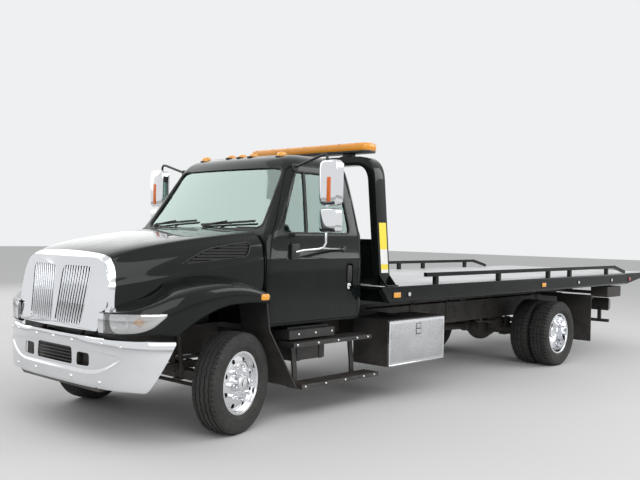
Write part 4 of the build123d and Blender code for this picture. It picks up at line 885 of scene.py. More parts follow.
make(bumper_sheet(), "bumper_sheet", ["chrome"], "chassis", stands_for=("front_bumper",),
     closed=False, angle=30)
dark = Shape()
dark.box((0.962, 0.972), (-0.315, 0.315), (0.570, 0.750))
# A black plate behind the bumper's top, drawn wide so that its outer ends are painted shade: a dark sheet
# filling the gap between the headlamps and the bumper.
dark.box((0.862, 0.872), (-0.780, 0.780), (0.700, 0.856))
for k in range(5):
    z = 0.606 + k * 0.027
    dark.box((0.985, 1.010), (-0.272, 0.272), (z, z + 0.009))
for side in (-1, 1):
    dark.box((0.950, 0.960), (side * 0.310, side * 0.560), (0.570, 0.735))
    dark.box((0.79, 0.99), (side * 0.345, side * 0.42), (0.735, 0.80))
dark.prism([(0.62, 0.55), (0.97, 0.55), (0.995, 0.445), (0.97, 0.405), (0.62, 0.44)], "y", -0.60, 0.60)
make(dark, "bumper_dark_parts_and_shade_sheet", ["satin"], "chassis", bevel=0.003)
bolts = Shape()
for y, z in ((0.0, 0.790), (0.28, 0.785), (0.28, 0.500), (0.655, 0.792), (0.64, 0.490), (0.84, 0.78)):
    for s in ((1,) if y == 0 else (-1, 1)):
        x = along([(b, a) for a, b in bumper_plan], abs(y))[0] - 0.004
        bolts.turn([(0.0, 0.013), (0.009, 0.011), (0.015, 0.005), (0.017, 0.0), (0.017, -0.004)],
                   (x, s * y, z), "x", 20)
make(bolts, "bumper_bolts", ["chrome"], "chassis", closed=False)


# Cab: a closed body built up in level rings, then hollowed, with the door and window openings cut out
# columns: height, front x, back x, half width, front corner, rear corner, how far the front is bowed
cab_levels = (
    (0.8453, -0.412, -1.730, 0.990, 0.050, 0.07, 0.00), (0.870, -0.412, -1.730, 1.000, 0.050, 0.08, 0.00),
    (1.30, -0.412, -1.730, 1.000, 0.050, 0.08, 0.00), (1.422, -0.412, -1.730, 1.002, 0.050, 0.09, 0.00),
    (1.436, -0.412, -1.730, 1.006, 0.050, 0.09, 0.00), (1.448, -0.412, -1.730, 0.999, 0.050, 0.09, 0.00),
    (1.60, -0.412, -1.730, 0.995, 0.060, 0.10, 0.01), (1.665, -0.414, -1.730, 0.985, 0.080, 0.10, 0.03),
    (1.700, -0.430, -1.730, 0.974, 0.090, 0.11, 0.06), (1.85, -0.522, -1.730, 0.935, 0.095, 0.12, 0.075),
    (2.00, -0.615, -1.730, 0.895, 0.095, 0.13, 0.08), (2.15, -0.707, -1.728, 0.852, 0.095, 0.14, 0.08),
    (2.25, -0.769, -1.724, 0.822, 0.100, 0.15, 0.075), (2.30, -0.802, -1.716, 0.804, 0.110, 0.16, 0.07),
    (2.34, -0.835, -1.703, 0.783, 0.125, 0.17, 0.065), (2.37, -0.872, -1.682, 0.752, 0.14, 0.18, 0.06),
    (2.395, -0.925, -1.648, 0.705, 0.15, 0.19, 0.05), (2.412, -0.995, -1.598, 0.635, 0.15, 0.19, 0.04),
    (2.423, -1.080, -1.530, 0.530, 0.14, 0.18, 0.02), (2.428, -1.190, -1.430, 0.350, 0.10, 0.10, 0.0))


def cab_ring(z, front, back, half, front_corner, rear_corner, bow, inset, steps=7, side_steps=16,
             front_steps=18):
    front, back, half = front - inset, back + inset, half - inset
    fc, rc = max(0.02, front_corner - inset * 0.5), max(0.02, rear_corner - inset * 0.5)

    def bowed(y):
        return front - bow * (y / half) ** 2
    ring = []
    for k in range(front_steps + 1):
        y = (half - fc) * (2 * k / front_steps - 1)
        ring.append((bowed(y), y))
    corner_x, corner_y = bowed(half - fc) - fc, half - fc
    for k in range(1, steps):
        a = pi / 2 * k / steps
        ring.append((corner_x + fc * cos(a), corner_y + fc * sin(a)))
    for k in range(side_steps + 1):
        t = k / side_steps
        ring.append((corner_x + (back + rc - corner_x) * t, half))
    for k in range(1, steps):
        a = pi / 2 * k / steps
        ring.append((back + rc - rc * sin(a), half - rc + rc * cos(a)))
    for k in range(front_steps + 1):
        ring.append((back, (half - rc) * (1 - 2 * k / front_steps)))
    for k in range(1, steps):
        a = pi / 2 * k / steps
        ring.append((back + rc - rc * cos(a), -(half - rc) - rc * sin(a)))
    for k in range(side_steps + 1):
        t = k / side_steps
        ring.append((back + rc + (corner_x - back - rc) * t, -half))
    for k in range(1, steps):
        a = pi / 2 * k / steps
        ring.append((corner_x + fc * sin(a), -(half - fc) - fc * cos(a)))
    return [(x, y, z) for x, y in ring]


def cab_body(inset, name, floor=0.0):
    """The cab as a closed body, drawn in by an inset, with its foot raised by the floor's thickness."""
    rows = []
    foot = cab_levels[0][0] + floor
    for index, (z, *level) in enumerate(cab_levels):
        if inset and index < 2:
            z = (foot, foot + 0.02)[index]
        elif inset:
            z -= inset * max(0.0, min(1.0, (z - 2.25) / 0.12))
        rows.append(cab_ring(z, *level, inset))
    return Shape().grid(rows, loop_columns=True, cap=True).object(name, ["paint", "trim"])


def side_half(z):
    """The cab's half width at a height."""
    return along([(row[0], row[3]) for row in cab_levels], z)[0]


def front_at(y, z):
    """Where the cab's front stands at a place across it."""
    front, _, half, _, _, bow = along(cab_levels, z)
    return front - bow * (y / half) ** 2


WINDOW = rounded([(-0.600, 1.668), (-1.530, 1.668), (-1.505, 2.235), (-0.915, 2.235)],
                 [0.05, 0.07, 0.09, 0.05], 6)
WINDSCREEN = rounded([(-0.845, 1.705), (0.845, 1.705), (0.742, 2.272), (-0.742, 2.272)],
                     [0.07, 0.07, 0.08, 0.08], 7)
REAR_WINDOW = rounded([(-0.600, 1.76), (0.600, 1.76), (0.560, 2.20), (-0.560, 2.20)], 0.06, 6)


def door_outline(grow):
    """The door from the side, made larger or smaller by a gap."""
    return rounded([(-0.424 + grow, 0.873 - grow), (-0.424 + grow, 1.610),
                    (-0.530 + grow, 1.700 + grow * 0.5),
                    (-0.870 + grow * 0.7, 2.290 + grow), (-1.625 - grow, 2.290 + grow),
                    (-1.625 - grow, 0.873 - grow)],
                   [0.03, 0.05, 0.06, 0.07, 0.09, 0.09], 6)


def side_prism(outline, side, reach=(0.60, 1.2)):
    return Shape().prism(outline, "y", side * reach[0], side * reach[1]).object("cutter", ["paint", "trim"])


def front_prism(outline, reach):
    return Shape().prism(outline, "x", *reach).object("cutter", ["paint", "trim"])


cab = cab_body(0.0, "cab_skin")
tidy_normals(cab)
cut(cab, cab_body(0.045, "inside", 0.04))
cut(cab, *[side_prism(door_outline(0.005), side) for side in (-1, 1)])
cut(cab, front_prism(WINDSCREEN, (-0.93, -0.3)), front_prism(REAR_WINDOW, (-1.9, -1.6)))
make(cab, "cab_skin", ["paint"], "chassis", stands_for=("cab_shell",), closed=False,
     angle=32)

for side, label in SIDES:
    door = cab_body(0.0, f"door_skin_{label}")
    tidy_normals(door)
    cut(door, cab_body(0.045, "inside", 0.04))
    cut(door, side_prism(door_outline(0.0), side), operation="INTERSECT")
    recess = rectangle((-1.555, -1.455), (1.120, 1.385), 0.045, 7)
    cut(door, side_prism(WINDOW, side), side_prism(recess, side, (0.972, 1.05)))
    make(door, f"door_skin_{label}", ["paint"], f"{label}_door",
         stands_for=(f"door_{label}",), closed=False,
         angle=32)
    pane = cab_body(0.014, f"door_pane_{label}")
    tidy_normals(pane)
    cut(pane, cab_body(0.020, "inside"))
    grown = [(x + (0.012 if x > -1.2 else -0.012), z + (0.012 if z > 1.9 else -0.012)) for x, z in WINDOW]
    cut(pane, side_prism(grown, side), operation="INTERSECT")
    make(pane, f"door_pane_{label}", ["side_glass"], f"{label}_door",
         stands_for=(f"door_glass_{label}",), closed=False)

for outline, reach, name, stands in ((WINDSCREEN, (-0.93, -0.3), "windscreen", ("cab_glass",)),
                                     (REAR_WINDOW, (-1.9, -1.6), "rear_pane", ())):
    pane = cab_body(0.014, name)
    tidy_normals(pane)
    cut(pane, cab_body(0.020, "inside"))
    grown = [(y * 1.012, z + (0.010 if z > 1.98 else -0.010)) for y, z in outline]
    cut(pane, front_prism(grown, reach), operation="INTERSECT")
    make(pane, name, ["screen_glass"], "chassis", stands_for=stands, closed=False)

# Black rubber round the glass
seal = Shape()
path = [(front_at(y, z) - 0.006, y, z) for y, z in WINDSCREEN]
seal.tube(path + path[:1], 0.012, 8, cap=False)
path = [(-1.726, y, z) for y, z in REAR_WINDOW]
seal.tube(path + path[:1], 0.011, 8, cap=False)
make(seal, "screen_seals", ["rubber"], "chassis")
for side, label in SIDES:
    seal = Shape()
    path = [(x, side * (side_half(z) - 0.004), z) for x, z in WINDOW]
    seal.tube(path + path[:1], 0.009, 8, cap=False)
    post = []
    for t in (0, 0.25, 0.5, 0.75, 1):
        z = 1.675 + 0.555 * t
        post.append((-0.925 - 0.10 * t, side * (side_half(z) - 0.010), z))
    seal.tube(post, 0.0, flat=(0.014, 0.008))
    make(seal, f"window_seals_{label}", ["rubber"], f"{label}_door")

# Door furniture: the paddle handle in its recess, and the inner panel with its pull
for side, label in SIDES:
    parts = Shape()
    for look, xs, zs, radius, steps, near, far in (
            (0, (-1.551, -1.459), (1.124, 1.381), 0.042, 7, 0.968, 0.974),
            (0, (-1.538, -1.472), (1.205, 1.368), 0.028, 6, 0.972, 1.004),
            (2, (-1.533, -1.477), (1.138, 1.196), 0.024, 6, 0.972, 0.998),
            (1, (-0.50, -1.56), (0.95, 1.60), 0.08, 5, 0.934, 0.954),
            (1, (-0.75, -1.40), (1.30, 1.36), 0.02, 4, 0.895, 0.936)):
        parts.look = look
        parts.prism(rectangle(xs, zs, radius, steps), "y", side * near, side * far)
    make(parts, f"door_furniture_{label}", ["satin", "trim", "chrome"], f"{label}_door",
         bevel=0.004)

# Wipers
wipers = Shape()
for y0, reach_y in ((0.10, 0.68), (-0.66, 0.66)):
    base = (-0.425, y0 + 0.02, 1.712)
    elbow = (front_at(y0 + 0.30, 1.765) + 0.020, y0 + 0.30, 1.765)
    middle = (Vector(base) + Vector(elbow)) / 2 + Vector((0.02, 0, 0.005))
    wipers.tube([base, middle, elbow], 0.007, 8)
    wipers.turn([(0.0, 0.020), (0.018, 0.016), (0.020, -0.02)], base, "z", 16)
    blade = []
    for k in range(9):
        t = k / 8
        y = y0 - 0.04 + reach_y * t
        z = 1.728 + 0.040 * t
        blade.append((front_at(y, z) + 0.010, y, z))
    wipers.tube(blade, 0.0, flat=(0.006, 0.010))
make(wipers, "wipers", ["satin"], "chassis")


# Tyres with cut treads, and the nuts, hub caps and valves of the wheels
def steered(side):
    """Where the points of a front wheel go, turned about its kingpin."""
    def place(p):
        x, y = p[0], side * (p[1] + KINGPIN_TO_WHEEL)
        return (x * cos(STEER) - y * sin(STEER), x * sin(STEER) + y * cos(STEER) + side * KINGPIN_Y,
                p[2] + WHEEL_Z)
    return place


def rear(side, middle, flip=1):
    """Where the points of a rear wheel go; flip turns its face inward."""
    return lambda p: (p[0] - WHEELBASE, side * (middle + flip * p[1]), p[2] + WHEEL_Z)


TYRE_R = 0.420
TWIN_OUTER_Y, TWIN_INNER_Y = 1.095, 0.815
tyre_side = ((0.252, 0.0828), (0.262, 0.0860), (0.272, 0.0955), (0.288, 0.1070), (0.297, 0.1110),
             (0.300, 0.1150), (0.306, 0.1155),
             (0.309, 0.1150), (0.334, 0.1222), (0.352, 0.1222), (0.372, 0.1190), (0.380, 0.1170),
             (0.382, 0.1185), (0.390, 0.1160),
             (0.392, 0.1130), (0.400, 0.1085), (0.409, 0.1045))


def tyre(drive):
    """A tyre about the local Y axis: rows go round it, columns go across it from bead to bead."""
    pitches, depth = (54, 0.015) if drive else (60, 0.012)
    if drive:
        grooves = ((-0.046, 0.006), (0.0, 0.005), (0.046, 0.006))
        spots = ((0.0, False), (0.06, True), (0.40, True), (0.46, False))
    else:
        grooves = tuple((middle, 0.0062) for middle in (-0.063, -0.022, 0.022, 0.063))
        spots = ((0.0, False), (0.035, True), (0.10, True), (0.135, False))
    places = [-0.1010, -0.0960]
    for middle, half in grooves:
        places += [middle - half - 0.0012, middle - half, middle + half, middle + half + 0.0012]
    places += [0.0960, 0.1010]
    rows = []
    for pitch in range(pitches):
        for share, deep in spots:
            a = 2 * pi * (pitch + share) / pitches
            zig = 0.0035 * (1 if pitch % 2 else -1)
            row = [(r, -y) for r, y in tyre_side]
            for y in places:
                crown = TYRE_R - 0.0045 * (abs(y) / 0.1) ** 2.4 - (0.004 if abs(y) > 0.1 else 0)
                inside = any(abs(y - m) <= h + 1e-6 for m, h in grooves)
                shift = zig if any(abs(y - m) <= h + 0.002 for m, h in grooves) else 0.0
                block = deep and (abs(y) > 0.046 if drive else abs(y) > 0.066)
                if drive and deep and 0.006 < abs(y) < 0.040:
                    block = share == 0.40 and pitch % 2 == 0
                cut_in = depth if inside else (depth * 0.85 if block else 0.0)
                row.append((crown - cut_in, y + shift))
            row += [(r, y) for r, y in tyre_side[::-1]]
            if deep:
                count = len(tyre_side)
                for k in range(count - (3 if drive else 1), count):
                    for spot in (k, len(row) - 1 - k):
                        r, y = row[spot]
                        row[spot] = (r - 0.006, y * 0.965) if drive else (r - 0.002, y * 0.992)
            rows.append([(r * cos(a), y, r * sin(a)) for r, y in row])
    shape = Shape().grid(rows, loop_rows=True)
    return shape.turn([(0.2515, y) for y in (-0.0828, -0.078, 0.078, 0.0828)], sides=72)


def copy_of(shape):
    """The same faces again, to be placed elsewhere."""
    return Shape().join(shape)


steer_tyre, drive_tyre = tyre(False), tyre(True)
for side, label in SIDES:
    make(copy_of(steer_tyre).placed(steered(side)), f"front_tyre_{label}", ["tyre"], f"front_{label}_wheel",
         stands_for=(f"tyre_front_{label}",), angle=28)
for side, label in SIDES:
    pair = copy_of(drive_tyre).placed(rear(side, TWIN_OUTER_Y))
    pair.join(copy_of(drive_tyre).placed(rear(side, TWIN_INNER_Y, -1)))
    make(pair, f"rear_tyres_{label}", ["tyre"], f"rear_{label}_wheels",
         stands_for=(f"tyres_rear_{label}",), angle=28)


# Wheels: the barrel and its dished disc turned in one piece, eight round hand holes, hub and drum
WHEEL_SIDES = 96
RIM_EDGE, BARREL_OUT, BARREL_IN, FLANGE_R = 0.0935, 0.2475, 0.2385, 0.263
HAND_HOLE_R, HAND_HOLE_CIRCLE, NUT_CIRCLE = 0.021, 0.196, 0.1375


def rim_profile(face, bend):
    """The wheel's section as (radius, place along the axis), for a disc whose face stands at face."""
    corners = [(FLANGE_R, -RIM_EDGE), (FLANGE_R, -RIM_EDGE + 0.010), (BARREL_OUT, -RIM_EDGE + 0.010),
               (BARREL_OUT, RIM_EDGE - 0.010),
               (FLANGE_R, RIM_EDGE - 0.010), (FLANGE_R, RIM_EDGE), (BARREL_IN, RIM_EDGE),
               (BARREL_IN, bend + 0.009),
               (0.1875, face + 0.009), (0.060, face + 0.009), (0.060, face - 0.009), (0.1875, face - 0.009),
               (BARREL_IN, bend - 0.009), (BARREL_IN, -RIM_EDGE)]
    radii = [0.004, 0.002, 0.002, 0.002, 0.002, 0.004, 0.010, 0.018, 0.030, 0.002, 0.002, 0.020, 0.018, 0.006]
    return rounded(corners, radii, 4)


def wheel_body(name, rims, place, cores):
    """One body's rims with their hand holes, and its hub, drum and cap."""
    made = None
    joined = bmesh.new()
    for middle, face, bend in rims:
        line = rim_profile(face, bend)
        rim = Shape().turn([(r, middle + t) for r, t in line + line[:1]], sides=WHEEL_SIDES)
        rim = rim.placed(place).object(name, ["wheel", "iron"])
        with edited(rim) as work:
            bmesh.ops.remove_doubles(work, verts=work.verts, dist=0.00001)
        tidy_normals(rim)
        holes = Shape()
        for k in range(8):
            a = 2 * pi * (k + 0.5) / 8
            hole = flat_circle((HAND_HOLE_CIRCLE * cos(a), HAND_HOLE_CIRCLE * sin(a)), HAND_HOLE_R, 28)
            holes.prism(hole, "y", middle + min(face, bend) - 0.03, middle + max(face, bend) + 0.03)
        cut(rim, holes.placed(place).object("holes", ["wheel", "iron"]))
        joined.from_mesh(rim.data)
        if made:
            bpy.data.objects.remove(rim)
        else:
            made = rim
    joined.to_mesh(made.data)
    joined.free()
    core = Shape()
    for radius, low, high, look in cores:
        core.look = look
        core.turn([(0.001, low), (radius - 0.004, low), (radius, low + 0.004), (radius, high - 0.004),
                   (radius - 0.004, high), (0.001, high)], sides=56)
    hub = core.placed(place).object(name.replace("rims", "hub"), ["wheel", "iron"])
    tidy_normals(hub)
    return made, hub


FRONT_RIMS = ((0.0, 0.060, 0.040),)
FRONT_CORES = ((0.066, -0.085, 0.060, 1), (0.190, -0.085, 0.005, 1), (0.072, 0.060, 0.075, 0))
REAR_RIMS = ((0.0, -0.131, -0.060), (-0.280, 0.131, 0.060))
REAR_CORES = ((0.205, -0.423, -0.141, 1), (0.075, -0.141, -0.020, 0), (0.062, -0.022, 0.020, 0))


def wheel_dress(front):
    """Nuts, hub cap, valve and the bright bead of the rim."""
    made = Shape()
    face = 0.069 if front else -0.132
    for k in range(8):
        a = 2 * pi * k / 8
        centre = (NUT_CIRCLE * cos(a), NUT_CIRCLE * sin(a))
        for radius, low, high, sides in ((0.0225, face - 0.004, face + 0.006, 24),
                                         (0.0185, face, face + 0.030, 6)):
            made.prism(flat_circle(centre, radius, sides, a), "y", low, high)
        made.turn([(0.0172, face + 0.029), (0.0165, face + 0.040), (0.012, face + 0.050),
                   (0.001, face + 0.053)],
                  (centre[0], 0, centre[1]), "y", 20)
    if front:
        made.turn([(0.083, face), (0.080, face + 0.012), (0.074, face + 0.030), (0.073, face + 0.048),
                   (0.066, face + 0.056), (0.045, face + 0.060), (0.043, face + 0.068), (0.028, face + 0.074),
                   (0.001, face + 0.076)], sides=40)
    else:
        made.turn([(0.098, face), (0.094, face + 0.014), (0.080, face + 0.050), (0.077, face + 0.120),
                   (0.072, face + 0.150),
                   (0.064, face + 0.156), (0.030, face + 0.158), (0.001, face + 0.158)], sides=40)
        for k in range(8):
            a = 2 * pi * (k + 0.5) / 8
            made.turn([(0.0075, face + 0.155), (0.0075, face + 0.166), (0.001, face + 0.168)],
                      (0.058 * cos(a), 0, 0.058 * sin(a)), "y", 6)
    made.turn([(0.2425, RIM_EDGE - 0.020), (0.2500, RIM_EDGE - 0.004), (0.2560, RIM_EDGE + 0.0015),
               (0.2620, RIM_EDGE + 0.0010), (0.2645, RIM_EDGE - 0.004), (0.2630, RIM_EDGE - 0.010)], sides=72)
    made.tube([(0.205, 0.078 if front else -0.09, 0.02), (0.214, 0.095 if front else -0.05, 0.02)], 0.004, 8)
    return made


for front in (True, False):
    for side, label in SIDES:
        if front:
            end, old, body = "front", f"wheel_front_{label}", f"front_{label}_wheel"
            place, rims, cores = steered(side), FRONT_RIMS, FRONT_CORES
        else:
            end, old, body = "rear", f"wheels_rear_{label}", f"rear_{label}_wheels"
            place, rims, cores = rear(side, TWIN_OUTER_Y), REAR_RIMS, REAR_CORES
        rim, hub = wheel_body(f"{end}_rims_{label}", rims, place, cores)
        make(rim, f"{end}_rims_{label}", ["wheel", "iron"], body,
             stands_for=(old,), closed=False, angle=35)
        make(hub, f"{end}_hub_{label}", ["wheel", "iron"], body, closed=False,
             angle=35)
        make(wheel_dress(front).placed(place), f"{end}_wheel_trim_{label}", ["wheel"], body,
             angle=35)


# Mirrors: two bright housings on a looped arm, with the glass behind and an amber strip ahead
def pillow(xs, ys, zs, name):
    """A rounded closed housing over three spans."""
    def place(point):
        point = swollen(point, 9.0)
        return Vector([(low + high) / 2 + c * (high - low) / 2 for c,
                       (low, high) in zip(point, (xs, ys, zs))])
    return moulded(name, "chrome", 5, place)


MIRROR_POST_X, MIRROR_POST_Y = -0.915, 1.220
for side, label in SIDES:
    ys = sorted((side * 1.155, side * 1.380))
    for kind, xs, zs, stands in (("housing", (-0.972, -0.866), (1.918, 2.322), (f"mirror_{label}",)),
                                 ("round", (-0.966, -0.872), (1.680, 1.892), ())):
        name = f"mirror_{kind}_{label}"
        make(pillow(xs, ys, zs, name), name, ["chrome"], f"{label}_door",
             stands_for=stands, rounds=1, angle=70)
    arms = Shape()
    post = MIRROR_POST_X, side * MIRROR_POST_Y
    arms.tube([(-0.745, side * 1.010, 1.497), (-0.80, side * 1.06, 1.515), (-0.88, side * 1.17, 1.530),
               (-0.905, side * 1.205, 1.545), (*post, 1.585), (*post, 1.70)], 0.0115, 12)
    arms.tube([(*post, 1.85), (*post, 1.98)], 0.0115, 12)
    arms.tube([(-0.91, side * 1.190, 1.536), (-1.05, side * 1.14, 1.530), (-1.32, side * 1.04, 1.525),
               (-1.42, side * 0.998, 1.522)], 0.010, 10)
    arms.look = 1
    arms.tube([(MIRROR_POST_X, side * y, z) for y, z in
               ((MIRROR_POST_Y, 2.28), (1.218, 2.352), (1.195, 2.374), (1.15, 2.368), (0.836, 2.280),
                (0.815, 2.274))],
              0.0125, 12)
    for xs, zs, radius, near, far in (((-0.790, -0.690), (1.430, 1.572), 0.018, 0.998, 1.022),
                                      ((-0.945, -0.885), (2.235, 2.305), 0.014, 0.806, 0.834),
                                      ((-1.445, -1.395), (1.495, 1.550), 0.012, 0.990, 1.006)):
        arms.prism(rectangle(xs, zs, radius, 4), "y", side * near, side * far)
    arms.look = 2
    arms.prism(rectangle((side * 1.265, side * 1.305), (1.950, 2.170), 0.012, 4), "x", -0.870, -0.860)
    make(arms, f"mirror_arms_{label}", ["chrome", "satin", "amber_deep"], f"{label}_door",
         bevel=0.002)
    panes = Shape()
    panes.prism(rectangle((side * 1.170, side * 1.365), (1.938, 2.302), 0.03, 5), "x", -0.9735, -0.962)
    panes.prism(rectangle((side * 1.172, side * 1.363), (1.695, 1.877), 0.03, 5), "x", -0.9675, -0.956)
    make(panes, f"mirror_glass_{label}", ["polish"], f"{label}_door")


# Steps: open gratings of serrated strips in a frame, hung on brackets
def grating(xs, ys, z):
    """A step of toothed strips and cross bars in a frame, with its top at z."""
    made = Shape()
    edge, deep, strips, cross_bars, tooth_pitch = 0.006, 0.040, 6, 10, 0.034
    (x0, x1), (y0, y1) = xs, ys
    for frame_ys in ((y0, y0 + edge), (y1 - edge, y1)):
        made.box(xs, frame_ys, (z - deep, z))
    for frame_xs in ((x0, x0 + edge), (x1 - edge, x1)):
        made.box(frame_xs, ys, (z - deep, z))
    teeth = int((x1 - x0) / tooth_pitch)
    long = (x1 - x0 - 2 * edge) / teeth
    for k in range(strips):
        y = y0 + 2 * edge + (y1 - y0 - 4 * edge) * (k + 0.5) / strips
        outline = [(x0 + 0.004, z - 0.022)]
        for t in range(teeth):
            x = x0 + edge + long * t
            outline += [(x, z - 0.006), (x + long * 0.25, z)]
            outline += [(x + long * 0.6, z), (x + long * 0.85, z - 0.006)]
        outline.append((x1 - 0.004, z - 0.022))
        made.prism(outline, "y", y - 0.007, y + 0.007)
    for k in range(cross_bars):
        x = x0 + (x1 - x0) * (k + 0.5) / cross_bars
        made.box((x - 0.004, x + 0.004), ys, (z - 0.030, z - 0.020))
    return made


steps = Shape()
for xs, ys, z in (((-1.730, -0.640), (0.925, 1.110), 0.700), ((-1.840, -0.750), (0.925, 1.110), 0.320),
                  ((-1.290, -0.740), (0.760, 0.930), 0.815)):
    steps.join(grating(xs, ys, z))
for x in (-0.800, -1.590):
    steps.tube([(x, 0.938, 0.700), (x - 0.01, 0.938, 0.60), (x - 0.035, 0.938, 0.42),
                (x - 0.04, 0.938, 0.300)], 0.0, flat=(0.026, 0.010))
    steps.box((x - 0.025, x + 0.025), (FRAME_FACE, 0.945), (0.690, 0.702))
    steps.tube([(x, 0.44, 0.66), (x, 0.935, 0.695)], 0.0, flat=(0.020, 0.005))
steps.look = 1
for back, z in ((0.0, 0.680), (-0.110, 0.300)):
    for x in (-0.70, -0.97, -1.24, -1.51, -1.67):
        steps.turn([(0.001, 0.0075), (0.007, 0.0065), (0.011, 0.0015), (0.011, -0.003)],
                   (x + back, 1.110, z), "y", 12)
steps.both_sides()
make(steps, "step_gratings", ["satin", "chrome"], "chassis", stands_for=("cab_steps",),
     angle=30)


# Toolboxes: a black body, a bright tread-plate door with a folded edge, and a dark paddle latch
TOOLBOX_X = (-2.846, -1.890)
TOOLBOX_Z = (0.370, 0.820)
TOOLBOX_FACE = 1.202
for side, label in SIDES:
    door = Shape()
    (x0, x1), (z0, z1) = TOOLBOX_X, TOOLBOX_Z
    door.prism(rectangle((x0 + 0.004, x1 - 0.004), (z0 + 0.006, z1 - 0.006), 0.012, 4), "y", side * 1.1805,
               side * (TOOLBOX_FACE - 0.004))
    door.look = 1
    door.prism(rectangle((x0 + 0.030, x1 - 0.030), (z0 + 0.034, z1 - 0.032), 0.02, 4), "y",
               side * (TOOLBOX_FACE - 0.010), side * TOOLBOX_FACE)
    door.look = 2
    door.tube([(x0 + 0.006, side * 1.191, 0.376), (x1 - 0.006, side * 1.191, 0.376)], 0.0105, 12)
    make(door, f"toolbox_door_panel_{label}", ["polish", "tread_side", "steel"], f"{label}_toolbox_door",
         stands_for=(f"toolbox_door_{label}",), bevel=0.0025)
    latch = Shape()
    latch.prism(rectangle((-2.422, -2.314), (0.648, 0.787), 0.014, 4), "y",
                side * 1.200, side * 1.2055)
    latch.look = 1
    latch.prism(rectangle((-2.412, -2.324), (0.660, 0.775), 0.010, 4), "y",
                side * 1.204, side * 1.2062)
    latch.look = 0
    for low in (0.668, 0.722):
        latch.prism(rectangle((-2.404, -2.332), (low, low + 0.044), 0.008, 4), "y",
                    side * 1.205, side * 1.2098)
    make(latch, f"toolbox_latch_{label}", ["alloy", "satin"], f"{label}_toolbox_door",
         bevel=0.002)

strips = Shape()
for x in (-2.80, -1.94):
    strips.box((x - 0.020, x + 0.020), (1.150, 1.180), (0.812, 0.824))
for z in (TOOLBOX_Z[0] - 0.004, TOOLBOX_Z[1]):
    strips.box(TOOLBOX_X, (0.735, 1.1785), (z, z + 0.004))
for x in (-2.75, -1.99):
    for z in (0.45, 0.74):
        strips.turn([(0.001, 0.006), (0.006, 0.005), (0.009, 0.0), (0.009, -0.004)], (x, 0.731, z), "y", 10)
strips.both_sides()
make(strips, "toolbox_edges", ["satin"], "chassis", bevel=0.001)

# Battery box lid and straps; tank straps and cap
straps = Shape()
for x in (-1.20, -0.90):
    straps.box((x - 0.022, x + 0.022), (0.425, 0.9225), (0.684, 0.694))
    straps.box((x - 0.022, x + 0.022), (0.915, 0.9225), (0.496, 0.690))
straps.box((-1.268, -0.822), (0.430, 0.924), (0.672, 0.691))
straps.look = 1
for x in (-1.22, -1.00, -0.78):
    straps.turn([(0.001, 1.0475), (0.008, 1.0465), (0.012, 1.0420), (0.012, 1.038)], (x, 0.0, 0.761), "y", 14)
make(straps, "battery_straps", ["satin", "chrome"], "chassis", bevel=0.003)
tank = Shape()
for x in (-1.42, -0.97):
    ring = [(-0.912, 0.63), (-0.917, 0.45), (-0.90, 0.412), (-0.86, 0.395), (-0.50, 0.395), (-0.455, 0.412),
            (-0.440, 0.45),
            (-0.440, 0.63), (-0.455, 0.676), (-0.50, 0.693), (-0.86, 0.693), (-0.90, 0.676)]
    tank.grid([[(x - 0.022, y, z), (x + 0.022, y, z)] for y, z in rounded(ring, 0.03, 3)], loop_rows=True)
tank.turn([(0.050, -0.02), (0.050, 0.016), (0.042, 0.026), (0.001, 0.026)], (-1.49, -0.83, 0.684), "z", 28)
for x, y in flat_circle((-1.49, -0.83), 0.03, 4):
    tank.box((x - 0.006, x + 0.006), (y - 0.006, y + 0.006), (0.705, 0.718))
make(tank, "tank_straps", ["polish"], "chassis", closed=False)

# Mud flaps: their ribs, and the bars and bolts they hang from
flaps = Shape()
for k in range(17):
    y = 0.70 + 0.49 * k / 16
    flaps.box((-6.4595, -6.4565), (y - 0.003, y + 0.003), (0.26, 0.80))
for y in (0.74, 0.88, 1.02, 1.16):
    flaps.turn([(0.014, -6.4600), (0.014, -6.4575), (0.001, -6.4565)], (0.0, y, 0.855), "x", 14)
for xs in ((-6.464, -6.457), (-6.443, -6.436)):
    flaps.box(xs, (0.69, 1.20), (0.838, 0.876))
flaps.both_sides()
make(flaps, "flap_ribs", ["rubber"], "chassis")


# Headboard: a rounded arch with tape on its posts, and the light bar above it
ARCH_X = (-2.050, -1.890)
ARCH_TOP = 2.460
DECK_TOP = 1.160
ON_DECK = DECK_TOP + 0.0003
DECK_SIDE = 1.2203


def arch_line(y_foot, y_head, top, corner, foot=ON_DECK):
    """The arch seen from the front: up one post, round the two corners and down the other."""
    half = rounded([(y_foot, foot), (y_head, top), (0.0, top)], [0.0, corner, 0.0], 9)[1:-1]
    half = [p for p in half if p[0] > 0.02]
    return half + [(-y, z) for y, z in half[::-1]]


outer = arch_line(1.075, 0.960, ARCH_TOP, 0.235)
inner = arch_line(0.985, 0.870, 2.370, 0.165)
arch = Shape()
rows = []
for (oy, oz), (iy, iz) in zip(outer, inner):
    rows.append([(ARCH_X[1], oy, oz), (ARCH_X[0], oy, oz), (ARCH_X[0], iy, iz), (ARCH_X[1], iy, iz)])
arch.grid(rows, loop_columns=True, cap=True)
arch.box((ARCH_X[0] + 0.040, ARCH_X[0] + 0.080), (-1.000, 1.000), (ON_DECK, 1.600))
arch.box((ARCH_X[0] + 0.025, ARCH_X[0] + 0.095), (-0.985, 0.985), (1.575, 1.620))
for y in (-0.66, -0.22, 0.22, 0.66):
    arch.box((ARCH_X[0] + 0.012, ARCH_X[0] + 0.045), (y - 0.025, y + 0.025), (ON_DECK, 1.585))
for side in (-1, 1):
    gusset = [(side * 1.045, 1.290), (side * 1.160, ON_DECK), (side * 1.045, ON_DECK)]
    arch.prism(gusset, "x", ARCH_X[0], ARCH_X[0] + 0.012)
    arch.prism(gusset, "x", ARCH_X[1] - 0.012, ARCH_X[1])
    arch.box((ARCH_X[0] - 0.02, ARCH_X[1] + 0.02), (side * 0.965, side * 1.165), (ON_DECK, 1.170))
